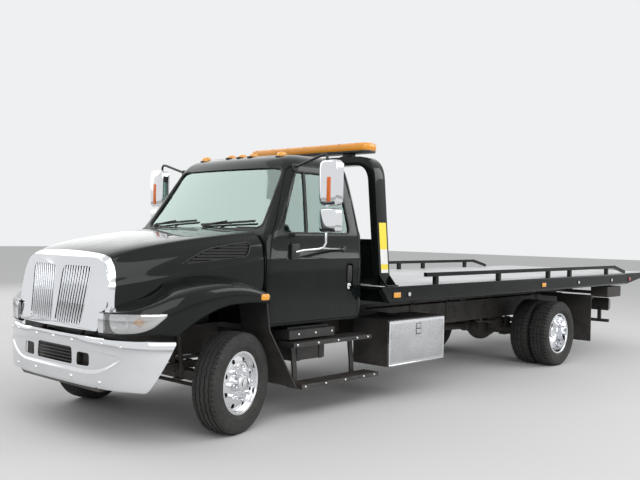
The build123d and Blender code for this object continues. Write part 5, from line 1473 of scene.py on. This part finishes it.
make(arch, "headboard_arch", ["paint"], "bed", stands_for=("headboard",), bevel=0.014,
     steps=3, angle=50)
tapes = Shape()
for side in (-1, 1):
    for look, low, high in ((1, 1.287, 1.320), (0, 1.320, 1.373), (1, 1.373, 1.520), (0, 1.520, 1.787)):
        tapes.look = look
        w0, w1 = (side * (1.0757 - 0.115 * (z - 1.16) / 1.30) for z in (low, high))
        tapes.grid([[(ARCH_X[0] + 0.024, w0, low), (ARCH_X[1] - 0.024, w0, low)],
                    [(ARCH_X[0] + 0.024, w1, high), (ARCH_X[1] - 0.024, w1, high)]])
make(tapes, "arch_tapes", ["yellow_tape", "white_tape"], "bed", closed=False)

# Light bar: a black base and feet with ribs across, and an amber dome whose two middle modules are paler, a
# painted highlight
bar_shape = Shape()
BAR_X = (-2.080, -1.870)
BAR_HALF = 0.870


def bar_outline(inset):
    """The light bar from above, drawn in by an inset."""
    return rounded([(BAR_X[0] + inset, -BAR_HALF + inset), (BAR_X[1] - inset, -BAR_HALF + inset),
                    (BAR_X[1] - inset, BAR_HALF - inset), (BAR_X[0] + inset, BAR_HALF - inset)], 0.085, 7)


bar_shape.prism(bar_outline(0.004), "z", 2.4985, 2.522)
for y in (-0.56, 0.56):
    bar_shape.box((-2.030, -1.910), (y - 0.040, y + 0.040), (ARCH_TOP + 0.0003, 2.503))
    bar_shape.box((-2.045, -1.895), (y - 0.060, y + 0.060), (ARCH_TOP + 0.0003, 2.468))
for k in range(-3, 4):
    y = k * 0.248
    bar_shape.prism(rounded([(BAR_X[0] + 0.001, 2.52), (BAR_X[1] - 0.001, 2.52), (BAR_X[1] - 0.004, 2.596),
                             (BAR_X[0] + 0.004, 2.596)],
                            0.012, 3), "y", y - 0.006, y + 0.006)
make(bar_shape, "light_bar_base", ["satin"], "bed", bevel=0.003)
domes = Shape()
rows = []
for inset, z in ((0.006, 2.518), (0.000, 2.526), (0.000, 2.575), (0.006, 2.590), (0.022, 2.599),
                 (0.06, 2.600)):
    rows.append([(x, y, z) for x, y in bar_outline(inset)])
domes.grid(rows, loop_columns=True, cap=True)
# The two middle modules in paler amber: a painted highlight on the dome's middle.
domes.look = 1
for y in (-0.124, 0.124):
    domes.prism(rounded([(BAR_X[0] - 0.001, 2.530), (BAR_X[1] + 0.001, 2.530), (BAR_X[1] - 0.004, 2.594),
                         (BAR_X[0] + 0.004, 2.594)],
                        0.014, 4), "y", y - 0.112, y + 0.112)
make(domes, "light_bar_domes", ["amber_bar", "amber_painted_highlight"], "bed",
     stands_for=("light_bar",), angle=50)

# Winch: a drum wound with wire rope between flanges, its gearbox, a clutch lever and roller guides
WINCH_X, WINCH_Z = -2.310, 1.320
winch = Shape()
winch.box((WINCH_X - 0.130, WINCH_X + 0.130), (-0.330, 0.330), (ON_DECK, 1.180))
for y in (-0.225, 0.225):
    winch.prism(rounded([(WINCH_X - 0.120, 1.170), (WINCH_X + 0.120, 1.170),
                         (WINCH_X + 0.105, WINCH_Z + 0.110),
                         (WINCH_X - 0.105, WINCH_Z + 0.110)], [0.0, 0.0, 0.07, 0.07], 6), "y", y - 0.010,
                y + 0.010)
winch.turn([(0.055, -0.300), (0.083, -0.296), (0.085, -0.240), (0.085, -0.236), (0.055, -0.232)],
           (WINCH_X, 0, WINCH_Z), "y", 40)
winch.turn([(0.035, 0.230), (0.078, 0.236), (0.082, 0.246), (0.082, 0.286), (0.060, 0.298), (0.001, 0.300)],
           (WINCH_X, 0, WINCH_Z), "y", 40)
winch.box((WINCH_X - 0.098, WINCH_X + 0.098), (-0.328, -0.238), (1.172, WINCH_Z + 0.098))
for y in (-0.209, 0.209):
    winch.turn([(0.04, y - 0.004), (0.104, y - 0.004), (0.104, y + 0.004), (0.04, y + 0.004)],
               (WINCH_X, 0, WINCH_Z), "y", 40)
for y in (-0.19, 0.19):
    winch.tube([(WINCH_X - 0.112, y, 1.178), (WINCH_X - 0.112, y, 1.235)], 0.012, 12)
winch.tube([(WINCH_X + 0.02, 0.300, WINCH_Z + 0.02), (WINCH_X + 0.03, 0.325, WINCH_Z + 0.06),
            (WINCH_X + 0.03, 0.328, WINCH_Z + 0.10)], 0.006, 10)
for x in (-0.105, 0.105):
    for y in (-0.30, -0.17, 0.17, 0.30):
        winch.turn([(0.001, 0.010), (0.008, 0.009), (0.011, 0.003), (0.011, -0.003)],
                   (WINCH_X + x, y, 1.180), "z", 6)
make(winch, "winch_frame", ["frame"], "bed", stands_for=("winch",), bevel=0.003,
     angle=40)
rope = Shape()
ROPE_TURNS, ROPE_STEPS, ROPE_R = 36, 16, 0.0805
path = []
for k in range(ROPE_TURNS * ROPE_STEPS + 1):
    a = 2 * pi * k / ROPE_STEPS
    y = -0.196 + 0.392 * k / (ROPE_TURNS * ROPE_STEPS)
    path.append((WINCH_X + ROPE_R * cos(a), y, WINCH_Z + ROPE_R * sin(a)))
rope.tube(path, 0.0054, 6)
rope.turn([(0.050, -0.204), (0.0765, -0.204), (0.0765, 0.204), (0.050, 0.204)], (WINCH_X, 0, WINCH_Z), "y",
          32)
make(rope, "winch_rope", ["rope"], "bed", angle=60)

# Deck: tread-plate floor sheets, ribs of the side channels, and the side lamps with their bezels
floor = Shape()
DECK_BACK, DECK_FRONT, SHEET_LONG = -8.432, -1.768, 1.110
for k in range(6):
    x0 = DECK_BACK + k * SHEET_LONG
    floor.box((x0, min(x0 + SHEET_LONG - 0.004, DECK_FRONT)), (-1.150, 1.150), (1.158, 1.1622))
make(floor, "deck_floor_sheets", ["tread_floor"], "bed", bevel=0.0008)
edge_faces = Shape()
for side in (-1, 1):
    ys = (side * DECK_SIDE, side * 1.2240)
    edge_faces.box((-7.55, -1.83), ys, (1.140, 1.158))
    edge_faces.box((-7.58, -1.86), ys, (1.004, 1.020))
make(edge_faces, "deck_edge_lips", ["paint"], "bed", bevel=0.0015)
bezels = Shape()
lenses = Shape()
lamp_look = {"amber": 0, "white": 1, "red": 2}
LAMP_Z = 1.075
for back, long, high, colour in ((1.969, 0.110, 0.050, "amber"), (2.171, 0.040, 0.040, "white"),
                                 (5.004, 0.100, 0.050, "amber"),
                                 (5.991, 0.040, 0.040, "white"), (7.063, 0.040, 0.040, "white"),
                                 (7.700, 0.060, 0.050, "red")):
    for side in (-1, 1):
        outline = rectangle((-back - long / 2, -back + long / 2), (LAMP_Z - high / 2, LAMP_Z + high / 2),
                            0.020 if colour == "white" else 0.012, 5)
        frame_line = [(-back + (x + back) * (1 + 0.014 / long), LAMP_Z + (z - LAMP_Z) * (1 + 0.014 / high))
                      for x, z in outline]
        bezels.prism(frame_line, "y", side * 1.2195, side * 1.2275)
        lenses.look = lamp_look[colour]
        lenses.prism(outline, "y", side * DECK_SIDE, side * 1.2320)
make(bezels, "deck_lamp_bezels", ["rubber"], "bed", bevel=0.002)
make(lenses, "deck_lamp_lenses", ["amber", "white", "red"], "bed",
     stands_for=("deck_lamps",), bevel=0.003)

# Roof marker lamps and the marker on each fender
markers = Shape()
ROOF_LAMPS_Y = (-0.560, -0.160, 0.0, 0.160, 0.560)
for y in ROOF_LAMPS_Y:
    top = 2.440
    x0, x1 = -1.045, -0.935
    profile = rounded([(x0, 2.385), (x1, 2.385), (x1 - 0.018, top - 0.010), (x1 - 0.055, top),
                       (x0 + 0.012, top - 0.004)],
                      [0.0, 0.0, 0.02, 0.02, 0.012], 4)
    rows = []
    for off, grow in ((-0.025, 0.80), (-0.018, 0.96), (0.0, 1.0), (0.018, 0.96), (0.025, 0.80)):
        rows.append([((x - (x0 + x1) / 2) * (0.5 + grow / 2) + (x0 + x1) / 2, y + off,
                      2.385 + (z - 2.385) * grow) for x, z in profile])
    markers.grid(rows, loop_columns=True, cap=True)
make(markers, "roof_lamp_lenses", ["amber"], "chassis", stands_for=("roof_lamps",),
     angle=50)
bases = Shape()
for y in ROOF_LAMPS_Y:
    base_z = 2.395 if abs(y) > 0.3 else 2.410
    bases.prism(rectangle((-1.052, -0.928), (y - 0.030, y + 0.030), 0.018, 5), "z", 2.370, base_z)
make(bases, "roof_lamp_bases", ["rubber"], "chassis", bevel=0.002)
fender_marks = Shape()
fender_marks.prism(rectangle((-0.285, -0.195), (1.102, 1.154), 0.018, 5), "y", 1.148, 1.171)
fender_marks.both_sides()
make(fender_marks, "fender_markers", ["amber"], "tilting_hood", bevel=0.004)

# Tail lamps in the boxes under the deck, the blank plate and its bracket on the guard
tail = Shape()
tail.prism(rectangle((0.955, 1.180), (0.850, 0.955), 0.02, 4), "x", -7.472, -7.458)
tail.both_sides()
make(tail, "tail_lamp_plates", ["satin"], "tilting_frame", bevel=0.002)
tail_lens = Shape()
for k, look in ((0, 0), (1, 0), (2, 1)):
    y = 1.000 + k * 0.068
    tail_lens.look = look
    tail_lens.turn([(0.029, -7.470), (0.029, -7.478), (0.022, -7.484), (0.001, -7.486)], (0.0, y, 0.902),
                   "x", 24)
tail_lens.both_sides()
make(tail_lens, "tail_lamp_lenses", ["red", "white"], "tilting_frame", closed=False)
plate = Shape()
plate.prism(rectangle((0.665, 0.985), (0.60, 0.76), 0.015, 4), "x", -7.600, -7.598)
plate.look = 1
plate.box((-7.597, -7.590), (0.690, 0.960), (0.585, 0.775))
plate.box((-7.596, -7.560), (0.800, 0.850), (0.44, 0.62))
make(plate, "blank_plate", ["plate", "satin"], "chassis", bevel=0.0006)
guard = Shape()
for side in (-1, 1):
    for k, look in enumerate((0, 1, 0, 1, 0, 1)):
        guard.look = look
        y0 = side * (0.30 + k * 0.11)
        guard.prism(rectangle((y0, y0 + side * 0.108), (0.417, 0.448), 0.002, 1), "x",
                    -7.6065, -7.6055)
make(guard, "guard_tape", ["red", "white_tape"], "chassis", closed=False)


# Seats: cushions and backs as padded cloth with sewn channels, on the solid bases of the model
def cushion(name, centre, size, crown, lean=0.0, channels=0, channel_axis=0):
    """A crowned pad: its sides pull in between the corners, and channels run across its upper face."""
    def place(corner):
        u, v, w = corner
        point = swollen(corner, 4.0)
        side_pull = 1 - 0.045 * (1 - abs(w))
        point.x *= side_pull
        point.y *= side_pull
        if w > 0:
            point.z += crown * (1 - u * u) * (1 - v * v) * 2 / size[2]
            groove = abs((corner[channel_axis] * channels / 2 + 0.5) % 1.0 - 0.5) * 2
            fade = 1 - max(abs(u), abs(v)) ** 8
            point.z -= 0.010 * 2 / size[2] * max(0.0, 1 - groove * 4.5) * fade
        p = Vector([c * length / 2 for c, length in zip(point, size)])
        p.rotate(Matrix.Rotation(lean, 3, "Y"))
        return p + Vector(centre)
    made = make(moulded(name, "cloth", 15, place), name, ["cloth"], "chassis", rounds=1,
                angle=80)


SEATS = (("driver", 0.430, 0.520), ("bench", -0.380, 0.760))
for label, middle, wide in SEATS:
    cushion(f"seat_cushion_{label}", (-1.285, middle, 1.225), (0.500, wide - 0.012, 0.140), 0.012, channels=4,
            channel_axis=1)
    cushion(f"seat_back_{label}", (-1.535, middle, 1.615), (0.740, wide - 0.016, 0.110), 0.012,
            lean=radians(-96.5), channels=5)
seat_base = Shape()
for _, middle, wide in SEATS:
    half = wide / 2 - 0.045
    seat_base.box((-1.495, -1.085), (middle - half, middle + half), (0.8857, 1.158))
    for y in (middle - half + 0.03, middle + half - 0.03):
        seat_base.tube([(-1.47, y, 1.16), (-1.56, y, 1.60), (-1.60, y, 1.93)], 0.012, 8)
make(seat_base, "seat_bases", ["trim"], "chassis", stands_for=("seats",), bevel=0.006)

# Dashboard: a moulded top, a hooded cluster of blank dials, a stack of switches, and the steering wheel
dash = Shape()
profile = rounded([(-0.4625, 1.590), (-0.4625, 1.140), (-0.632, 1.140), (-0.742, 1.400), (-0.662, 1.560)],
                  [0.0, 0.0, 0.03, 0.05, 0.06], 5)
dash.prism(profile, "y", -0.898, 0.898)
hood_line = rounded([(-0.60, 1.575), (-0.700, 1.625), (-0.735, 1.575), (-0.705, 1.56)], 0.015, 3)
dash.prism(hood_line, "y", 0.20, 0.66)
dash.prism(rounded([(-0.690, 1.555), (-0.745, 1.415), (-0.735, 1.405), (-0.680, 1.545)], 0.005, 2), "y",
           0.23, 0.63)
dash.tube([(-0.640, 0.430, 1.340), (-0.880, 0.430, 1.478)], 0.034, 20)
dash.prism([(-0.70, 1.47), (-0.70, 1.12), (-0.755, 1.12), (-0.748, 1.40)], "y", -0.17, 0.17)
make(dash, "dash_moulding", ["trim"], "chassis", stands_for=("dashboard",), bevel=0.006)
dials = Shape()
tilt = Vector((-0.93, 0, 0.37)).normalized()
rise = tilt.cross(LEFT)


def dial(y, z, radius):
    """A blank dial in its ring, on the tilted face of the cluster."""
    centre = Vector((-0.712 - (1.487 - z) * 0.37, y, z)) + tilt * 0.008
    for r, ahead, look in ((radius, 0.004, 0), (radius * 0.86, 0.001, 1)):
        dials.look = look
        ring = circle(centre + tilt * ahead, LEFT, rise, r, 28)
        base = [p - tilt * 0.006 for p in ring]
        dials.grid([base, ring], loop_columns=True, cap=True)


for y, z, radius in ((0.33, 1.50, 0.045), (0.445, 1.50, 0.045), (0.54, 1.515, 0.024), (0.54, 1.465, 0.024),
                     (0.26, 1.455, 0.024)):
    dial(y, z, radius)
dials.look = 0
for row in range(3):
    for column in range(4):
        y, z = -0.12 + column * 0.08, 1.38 - row * 0.075
        dials.box((-0.762, -0.745), (y - 0.026, y + 0.026), (z - 0.018, z + 0.018))
for y in (-0.55, 0.78):
    dials.box((-0.735, -0.705), (y - 0.07, y + 0.07), (1.45, 1.505))
make(dials, "dash_dials", ["rubber", "plate"], "chassis", bevel=0.0015)
wheel = Shape()
wheel_way = Vector((-220, 0, 130)).normalized()
wheel_up = wheel_way.cross(LEFT)
hub = Vector((-0.887, 0.430, 1.483))
rim_line = circle(hub, LEFT, wheel_up, 0.205, 48)
wheel.grid([circle(p, (p - hub).normalized(), wheel_way, 0.0145, 10) for p in rim_line],
           loop_rows=True, loop_columns=True)
for a in (0.0, pi, 1.5 * pi):
    out = LEFT * cos(a) + wheel_up * sin(a)
    wheel.tube([hub - wheel_way * 0.018 + out * 0.03, hub - wheel_way * 0.012 + out * 0.10,
                hub + out * 0.198], 0.0, flat=(0.016, 0.006))
boss = ((0.030, -0.035), (0.062, -0.028), (0.066, -0.012), (0.058, 0.002), (0.004, 0.006))
wheel.grid([circle(hub + wheel_way * place, LEFT, wheel_up, radius, 24) for radius, place in boss],
           loop_columns=True, cap=True)
make(wheel, "steering_wheel", ["rubber"], "chassis", angle=50)

# Leaf springs as packs of single leaves with U-bolts, hangers and shackles
springs = Shape()
SPRING_Y = 0.394
for middle, half, low in ((0.0, 0.600, 0.4653), (-WHEELBASE, 0.700, 0.5033)):
    def top_at(share):
        if share < 0.15:
            return low + 0.058
        if share < 0.55:
            return low + 0.058 - 0.018 * (share - 0.15) / 0.40
        return low + 0.040 + 0.019 * (share - 0.55) / 0.45
    for leaf, share_long in enumerate((1.0, 0.97, 0.72, 0.56, 0.43, 0.31, 0.20)):
        path = []
        for k in range(17):
            s = -share_long + 2 * share_long * k / 16
            path.append((middle + s * half, top_at(abs(s)) - leaf * 0.0083))
        outline = [(x, z) for x, z in path] + [(x, z - 0.0076) for x, z in path[::-1]]
        springs.prism(outline, "y", SPRING_Y - 0.034, SPRING_Y + 0.034)
    for end in (-1, 1):
        x = middle + end * (half - 0.010)
        eye = ((0.010, -0.035), (0.017, -0.035), (0.017, 0.035), (0.010, 0.035))
        springs.turn([(r, SPRING_Y + y) for r, y in eye], (x, 0, low + 0.052), "y", 18)
        x = middle + end * (half - 0.025)
        hanger = [(x - 0.025, 0.5908), (x + 0.025, 0.5908), (x + 0.020, low + 0.045),
                  (x - 0.020, low + 0.045)]
        springs.look = 1
        for side in (-1, 1):
            springs.prism(hanger, "y", SPRING_Y + side * 0.037, SPRING_Y + side * 0.029)
        springs.look = 0
    under = 0.372 if middle == 0.0 else 0.335
    for x in (-0.062, 0.062):
        arch_half = ((0.041, under), (0.041, low + 0.062), (0.036, low + 0.070))
        bolt = [(-y, z) for y, z in arch_half] + list(arch_half[::-1])
        springs.tube([(middle + x, SPRING_Y + y, z) for y, z in bolt], 0.007, 10)
    springs.box((middle - 0.085, middle + 0.085), (SPRING_Y - 0.034, SPRING_Y + 0.034),
                (low + 0.0585, low + 0.066))
    springs.box((middle - 0.080, middle + 0.080), (SPRING_Y - 0.050, SPRING_Y + 0.050),
                (under + 0.002, under + 0.012))
springs.both_sides()
make(springs, "spring_packs", ["iron", "frame"], "chassis",
     stands_for=("leaf_springs",), bevel=0.001)

# Bolts and brackets along the frame, brake chambers, shock absorbers, pipes and the shaft's joints
fittings = Shape()
for x in (0.62, 0.30, -0.30, -0.80, -1.50, -2.15, -2.90, -3.60, -4.20, -4.86, -6.10, -6.78):
    for z in (0.665, 0.715, 0.765):
        for bolt_x in (x - 0.025, x + 0.025):
            fittings.turn([(0.001, 0.4385), (0.007, 0.438), (0.0095, 0.435), (0.0095, 0.431)],
                          (bolt_x, 0, z), "y", 6)
for x in (-3.30, -4.05, -6.35):
    fittings.box((x - 0.045, x + 0.045), (FRAME_FACE, 0.440), (0.62, 0.866))
    for dz in (0.66, 0.72, 0.78, 0.885):
        fittings.turn([(0.001, 0.449), (0.008, 0.448), (0.011, 0.444), (0.011, 0.439)], (x, 0, dz), "y", 6)
    fittings.box((x - 0.040, x + 0.040), (FRAME_FACE, 0.440), (0.850, 0.866))
fittings.both_sides()
for side in (-1, 1):
    chamber = (-WHEELBASE + 0.12, side * 0.36, 0.515)
    fittings.turn([(0.040, 0.0), (0.078, 0.004), (0.080, 0.055), (0.086, 0.060), (0.086, 0.072),
                   (0.080, 0.078), (0.078, 0.150), (0.066, 0.168), (0.001, 0.170)], chamber, "x", 28)
    fittings.tube([chamber, (-WHEELBASE + 0.02, side * 0.42, 0.50), (-WHEELBASE + 0.02, side * 0.60, 0.46)],
                  0.016, 10)
    fittings.turn([(0.026, 0.440), (0.026, 0.600), (0.001, 0.600)], (0.105, side * 0.375, 0.0), "z", 16)
    fittings.tube([(0.075, side * 0.470, 0.455), (0.10, side * 0.470, 0.640)], 0.022, 16)
    fittings.tube([(0.10, side * 0.470, 0.620), (0.12, side * 0.470, 0.800)], 0.028, 16)
    fittings.tube([(0.12, side * 0.432, 0.790), (0.12, side * 0.490, 0.790)], 0.012, 10)
for y, z in ((0.335, 0.70), (0.320, 0.72), (-0.335, 0.70)):
    fittings.tube([(-1.2, y, z), (-2.8, y, z), (-4.6, y, z - 0.01), (-5.2, y * 0.9, z - 0.05)], 0.007, 8)
make(fittings, "frame_fittings", ["frame"], "chassis", angle=35)
shaft = Shape()
SHAFT_FRONT, SHAFT_BACK = Vector((-1.155, 0, 0.570)), Vector((-5.165, 0, 0.442))
for t in (0.0, 0.49, 0.51, 0.985):
    x, _, z = SHAFT_FRONT.lerp(SHAFT_BACK, t)
    shaft.turn([(0.048, x - 0.035), (0.068, x - 0.03), (0.072, x), (0.068, x + 0.03), (0.048, x + 0.035)],
               (0.0, 0.0, z), "x", 24)
x = -WHEELBASE - 0.115
shaft.turn([(0.125, x - 0.082), (0.155, x - 0.070), (0.157, x + 0.02)], (0.0, 0.0, WHEEL_Z), "x", 36)
make(shaft, "shaft_joints", ["iron"], "chassis", angle=40)


# The model's own solids that stay
def finish(look, names, bevel=0.0):
    """Gives the solids of the model their material and, where asked, rounded edges."""
    for name in names:
        piece = nodes[name]
        piece.data.materials.clear()
        piece.data.materials.append(M[look])
        if bevel:
            piece.modifiers.new("weld", "WELD").merge_threshold = 0.00002
            bevelled(piece, bevel, 2, 40).harden_normals = True


finish("frame", ("ladder_frame", "front_axle", "rear_axle", "knuckle_left", "knuckle_right", "tie_rod",
                 "tilt_frame"), 0.003)
finish("iron", ("engine", "drive_line", "exhaust"), 0.004)
finish("alloy", ("radiator",), 0.003)
finish("satin", ("battery_box", "toolboxes", "rear_guard", "slide_barrel", "tilt_barrels"), 0.004)
finish("alloy", ("fuel_tank",))
finish("rubber", ("mudflaps",), 0.002)
finish("steel", ("slide_rod", "tilt_rods"))
finish("paint", ("deck", "side_rails"), 0.004)


# Floor, light and camera
FLOOR_HALF = 60


def flat_floor():
    """A plain studio floor."""
    corners = [(x * FLOOR_HALF, y * FLOOR_HALF, 0) for x, y in ((-1, -1), (1, -1), (1, 1), (-1, 1))]
    made = Shape().add(corners, [[0, 1, 2, 3]]).object("floor", [])
    n = Nodes("floor_look")
    n.put(n.shader.inputs["Base Color"], n.blend(n.noise(0.5), (0.60, 0.60, 0.595), (0.64, 0.64, 0.635)))
    n.shader.inputs["Roughness"].default_value = 0.85
    made.data.materials.append(n.material)


flat_floor()
world = bpy.data.worlds.new("studio")
bpy.context.scene.world = world
world.use_nodes = True
tree = world.node_tree


def world_node(kind, *sources):
    """A node of the world, with the first of its sockets linked to these sources."""
    node = tree.nodes.new(kind)
    for socket, source in zip(node.inputs, sources):
        tree.links.new(source, socket)
    return node


def added(first, second):
    node = world_node("ShaderNodeMath", first, second)
    node.operation = "ADD"
    node.use_clamp = True
    return node.outputs[0]


height = world_node("ShaderNodeSeparateXYZ",
                    tree.nodes.new("ShaderNodeTexCoord").outputs["Generated"]).outputs["Z"]
ramp = world_node("ShaderNodeValToRGB", height)
ramp.color_ramp.elements[0].position = 0.0
ramp.color_ramp.elements[0].color = (0.52, 0.53, 0.54, 1)
ramp.color_ramp.elements[1].position = 0.85
ramp.color_ramp.elements[1].color = (1.0, 1.0, 1.0, 1)
for place, shade in ((0.10, 0.66), (0.30, 0.86)):
    ramp.color_ramp.elements.new(place).color = (shade, shade * 1.02, shade * 1.04, 1)
sky = tree.nodes["Background"]
tree.links.new(ramp.outputs[0], sky.inputs["Color"])
sky.inputs["Strength"].default_value = 0.72
plain = tree.nodes.new("ShaderNodeBackground")
plain.inputs["Color"].default_value = (0.86, 0.87, 0.88, 1)
plain.inputs["Strength"].default_value = 1.0
paths = tree.nodes.new("ShaderNodeLightPath").outputs
seen = added(added(paths["Is Camera Ray"], paths["Is Glossy Ray"]), paths["Is Transmission Ray"])
both = world_node("ShaderNodeMixShader", seen, sky.outputs[0], plain.outputs[0])
tree.links.new(both.outputs[0], tree.nodes["World Output"].inputs["Surface"])

# columns: place, aim, size, watts
studio_lamps = (((9.0, 9.0, 9.0), (1.0, 0.0, 1.0), (15.0, 10.0), 1000),
                ((-6.0, 8.0, 7.0), (-1.0, 0.0, 1.0), (8.0, 5.0), 420),
                ((2.0, -12.0, 8.0), (0.5, 0.0, 1.0), (18.0, 12.0), 560))
for place, aim, size, watts in studio_lamps:
    lamp = bpy.data.lights.new("studio_lamp", "AREA")
    lamp.shape = "RECTANGLE"
    lamp.size, lamp.size_y = size
    lamp.energy = watts
    made = bpy.data.objects.new("studio_lamp", lamp)
    made.location = place
    made.rotation_euler = (Vector(aim) - Vector(place)).to_track_quat("-Z", "Y").to_euler()
    bpy.context.scene.collection.objects.link(made)

EYE = (4.43110, 6.09290, 1.67527)
FOCAL_PIXELS, PICTURE_WIDTH, SENSOR_WIDTH = 812.51, 640, 36.0
yaw, pitch, roll = radians(-137.2384), radians(-0.5169), radians(1.1600)
ahead = Vector((cos(yaw) * cos(pitch), sin(yaw) * cos(pitch), sin(pitch)))
level = Vector((sin(yaw), -cos(yaw), 0.0))
up = level.cross(ahead)
right = level * cos(roll) + up * sin(roll)
above = up * cos(roll) - level * sin(roll)
view = bpy.data.cameras.new("photo_camera")
view.sensor_width = SENSOR_WIDTH
view.lens = FOCAL_PIXELS / PICTURE_WIDTH * SENSOR_WIDTH
camera = bpy.data.objects.new("photo_camera", view)
camera.matrix_world = Matrix((
    (right.x, above.x, -ahead.x, EYE[0] + AXLE_X), (right.y, above.y, -ahead.y, EYE[1]),
    (right.z, above.z, -ahead.z, EYE[2]), (0, 0, 0, 1)))
bpy.context.scene.collection.objects.link(camera)
bpy.context.scene.camera = camera
bpy.context.scene.view_settings.view_transform = "Standard"
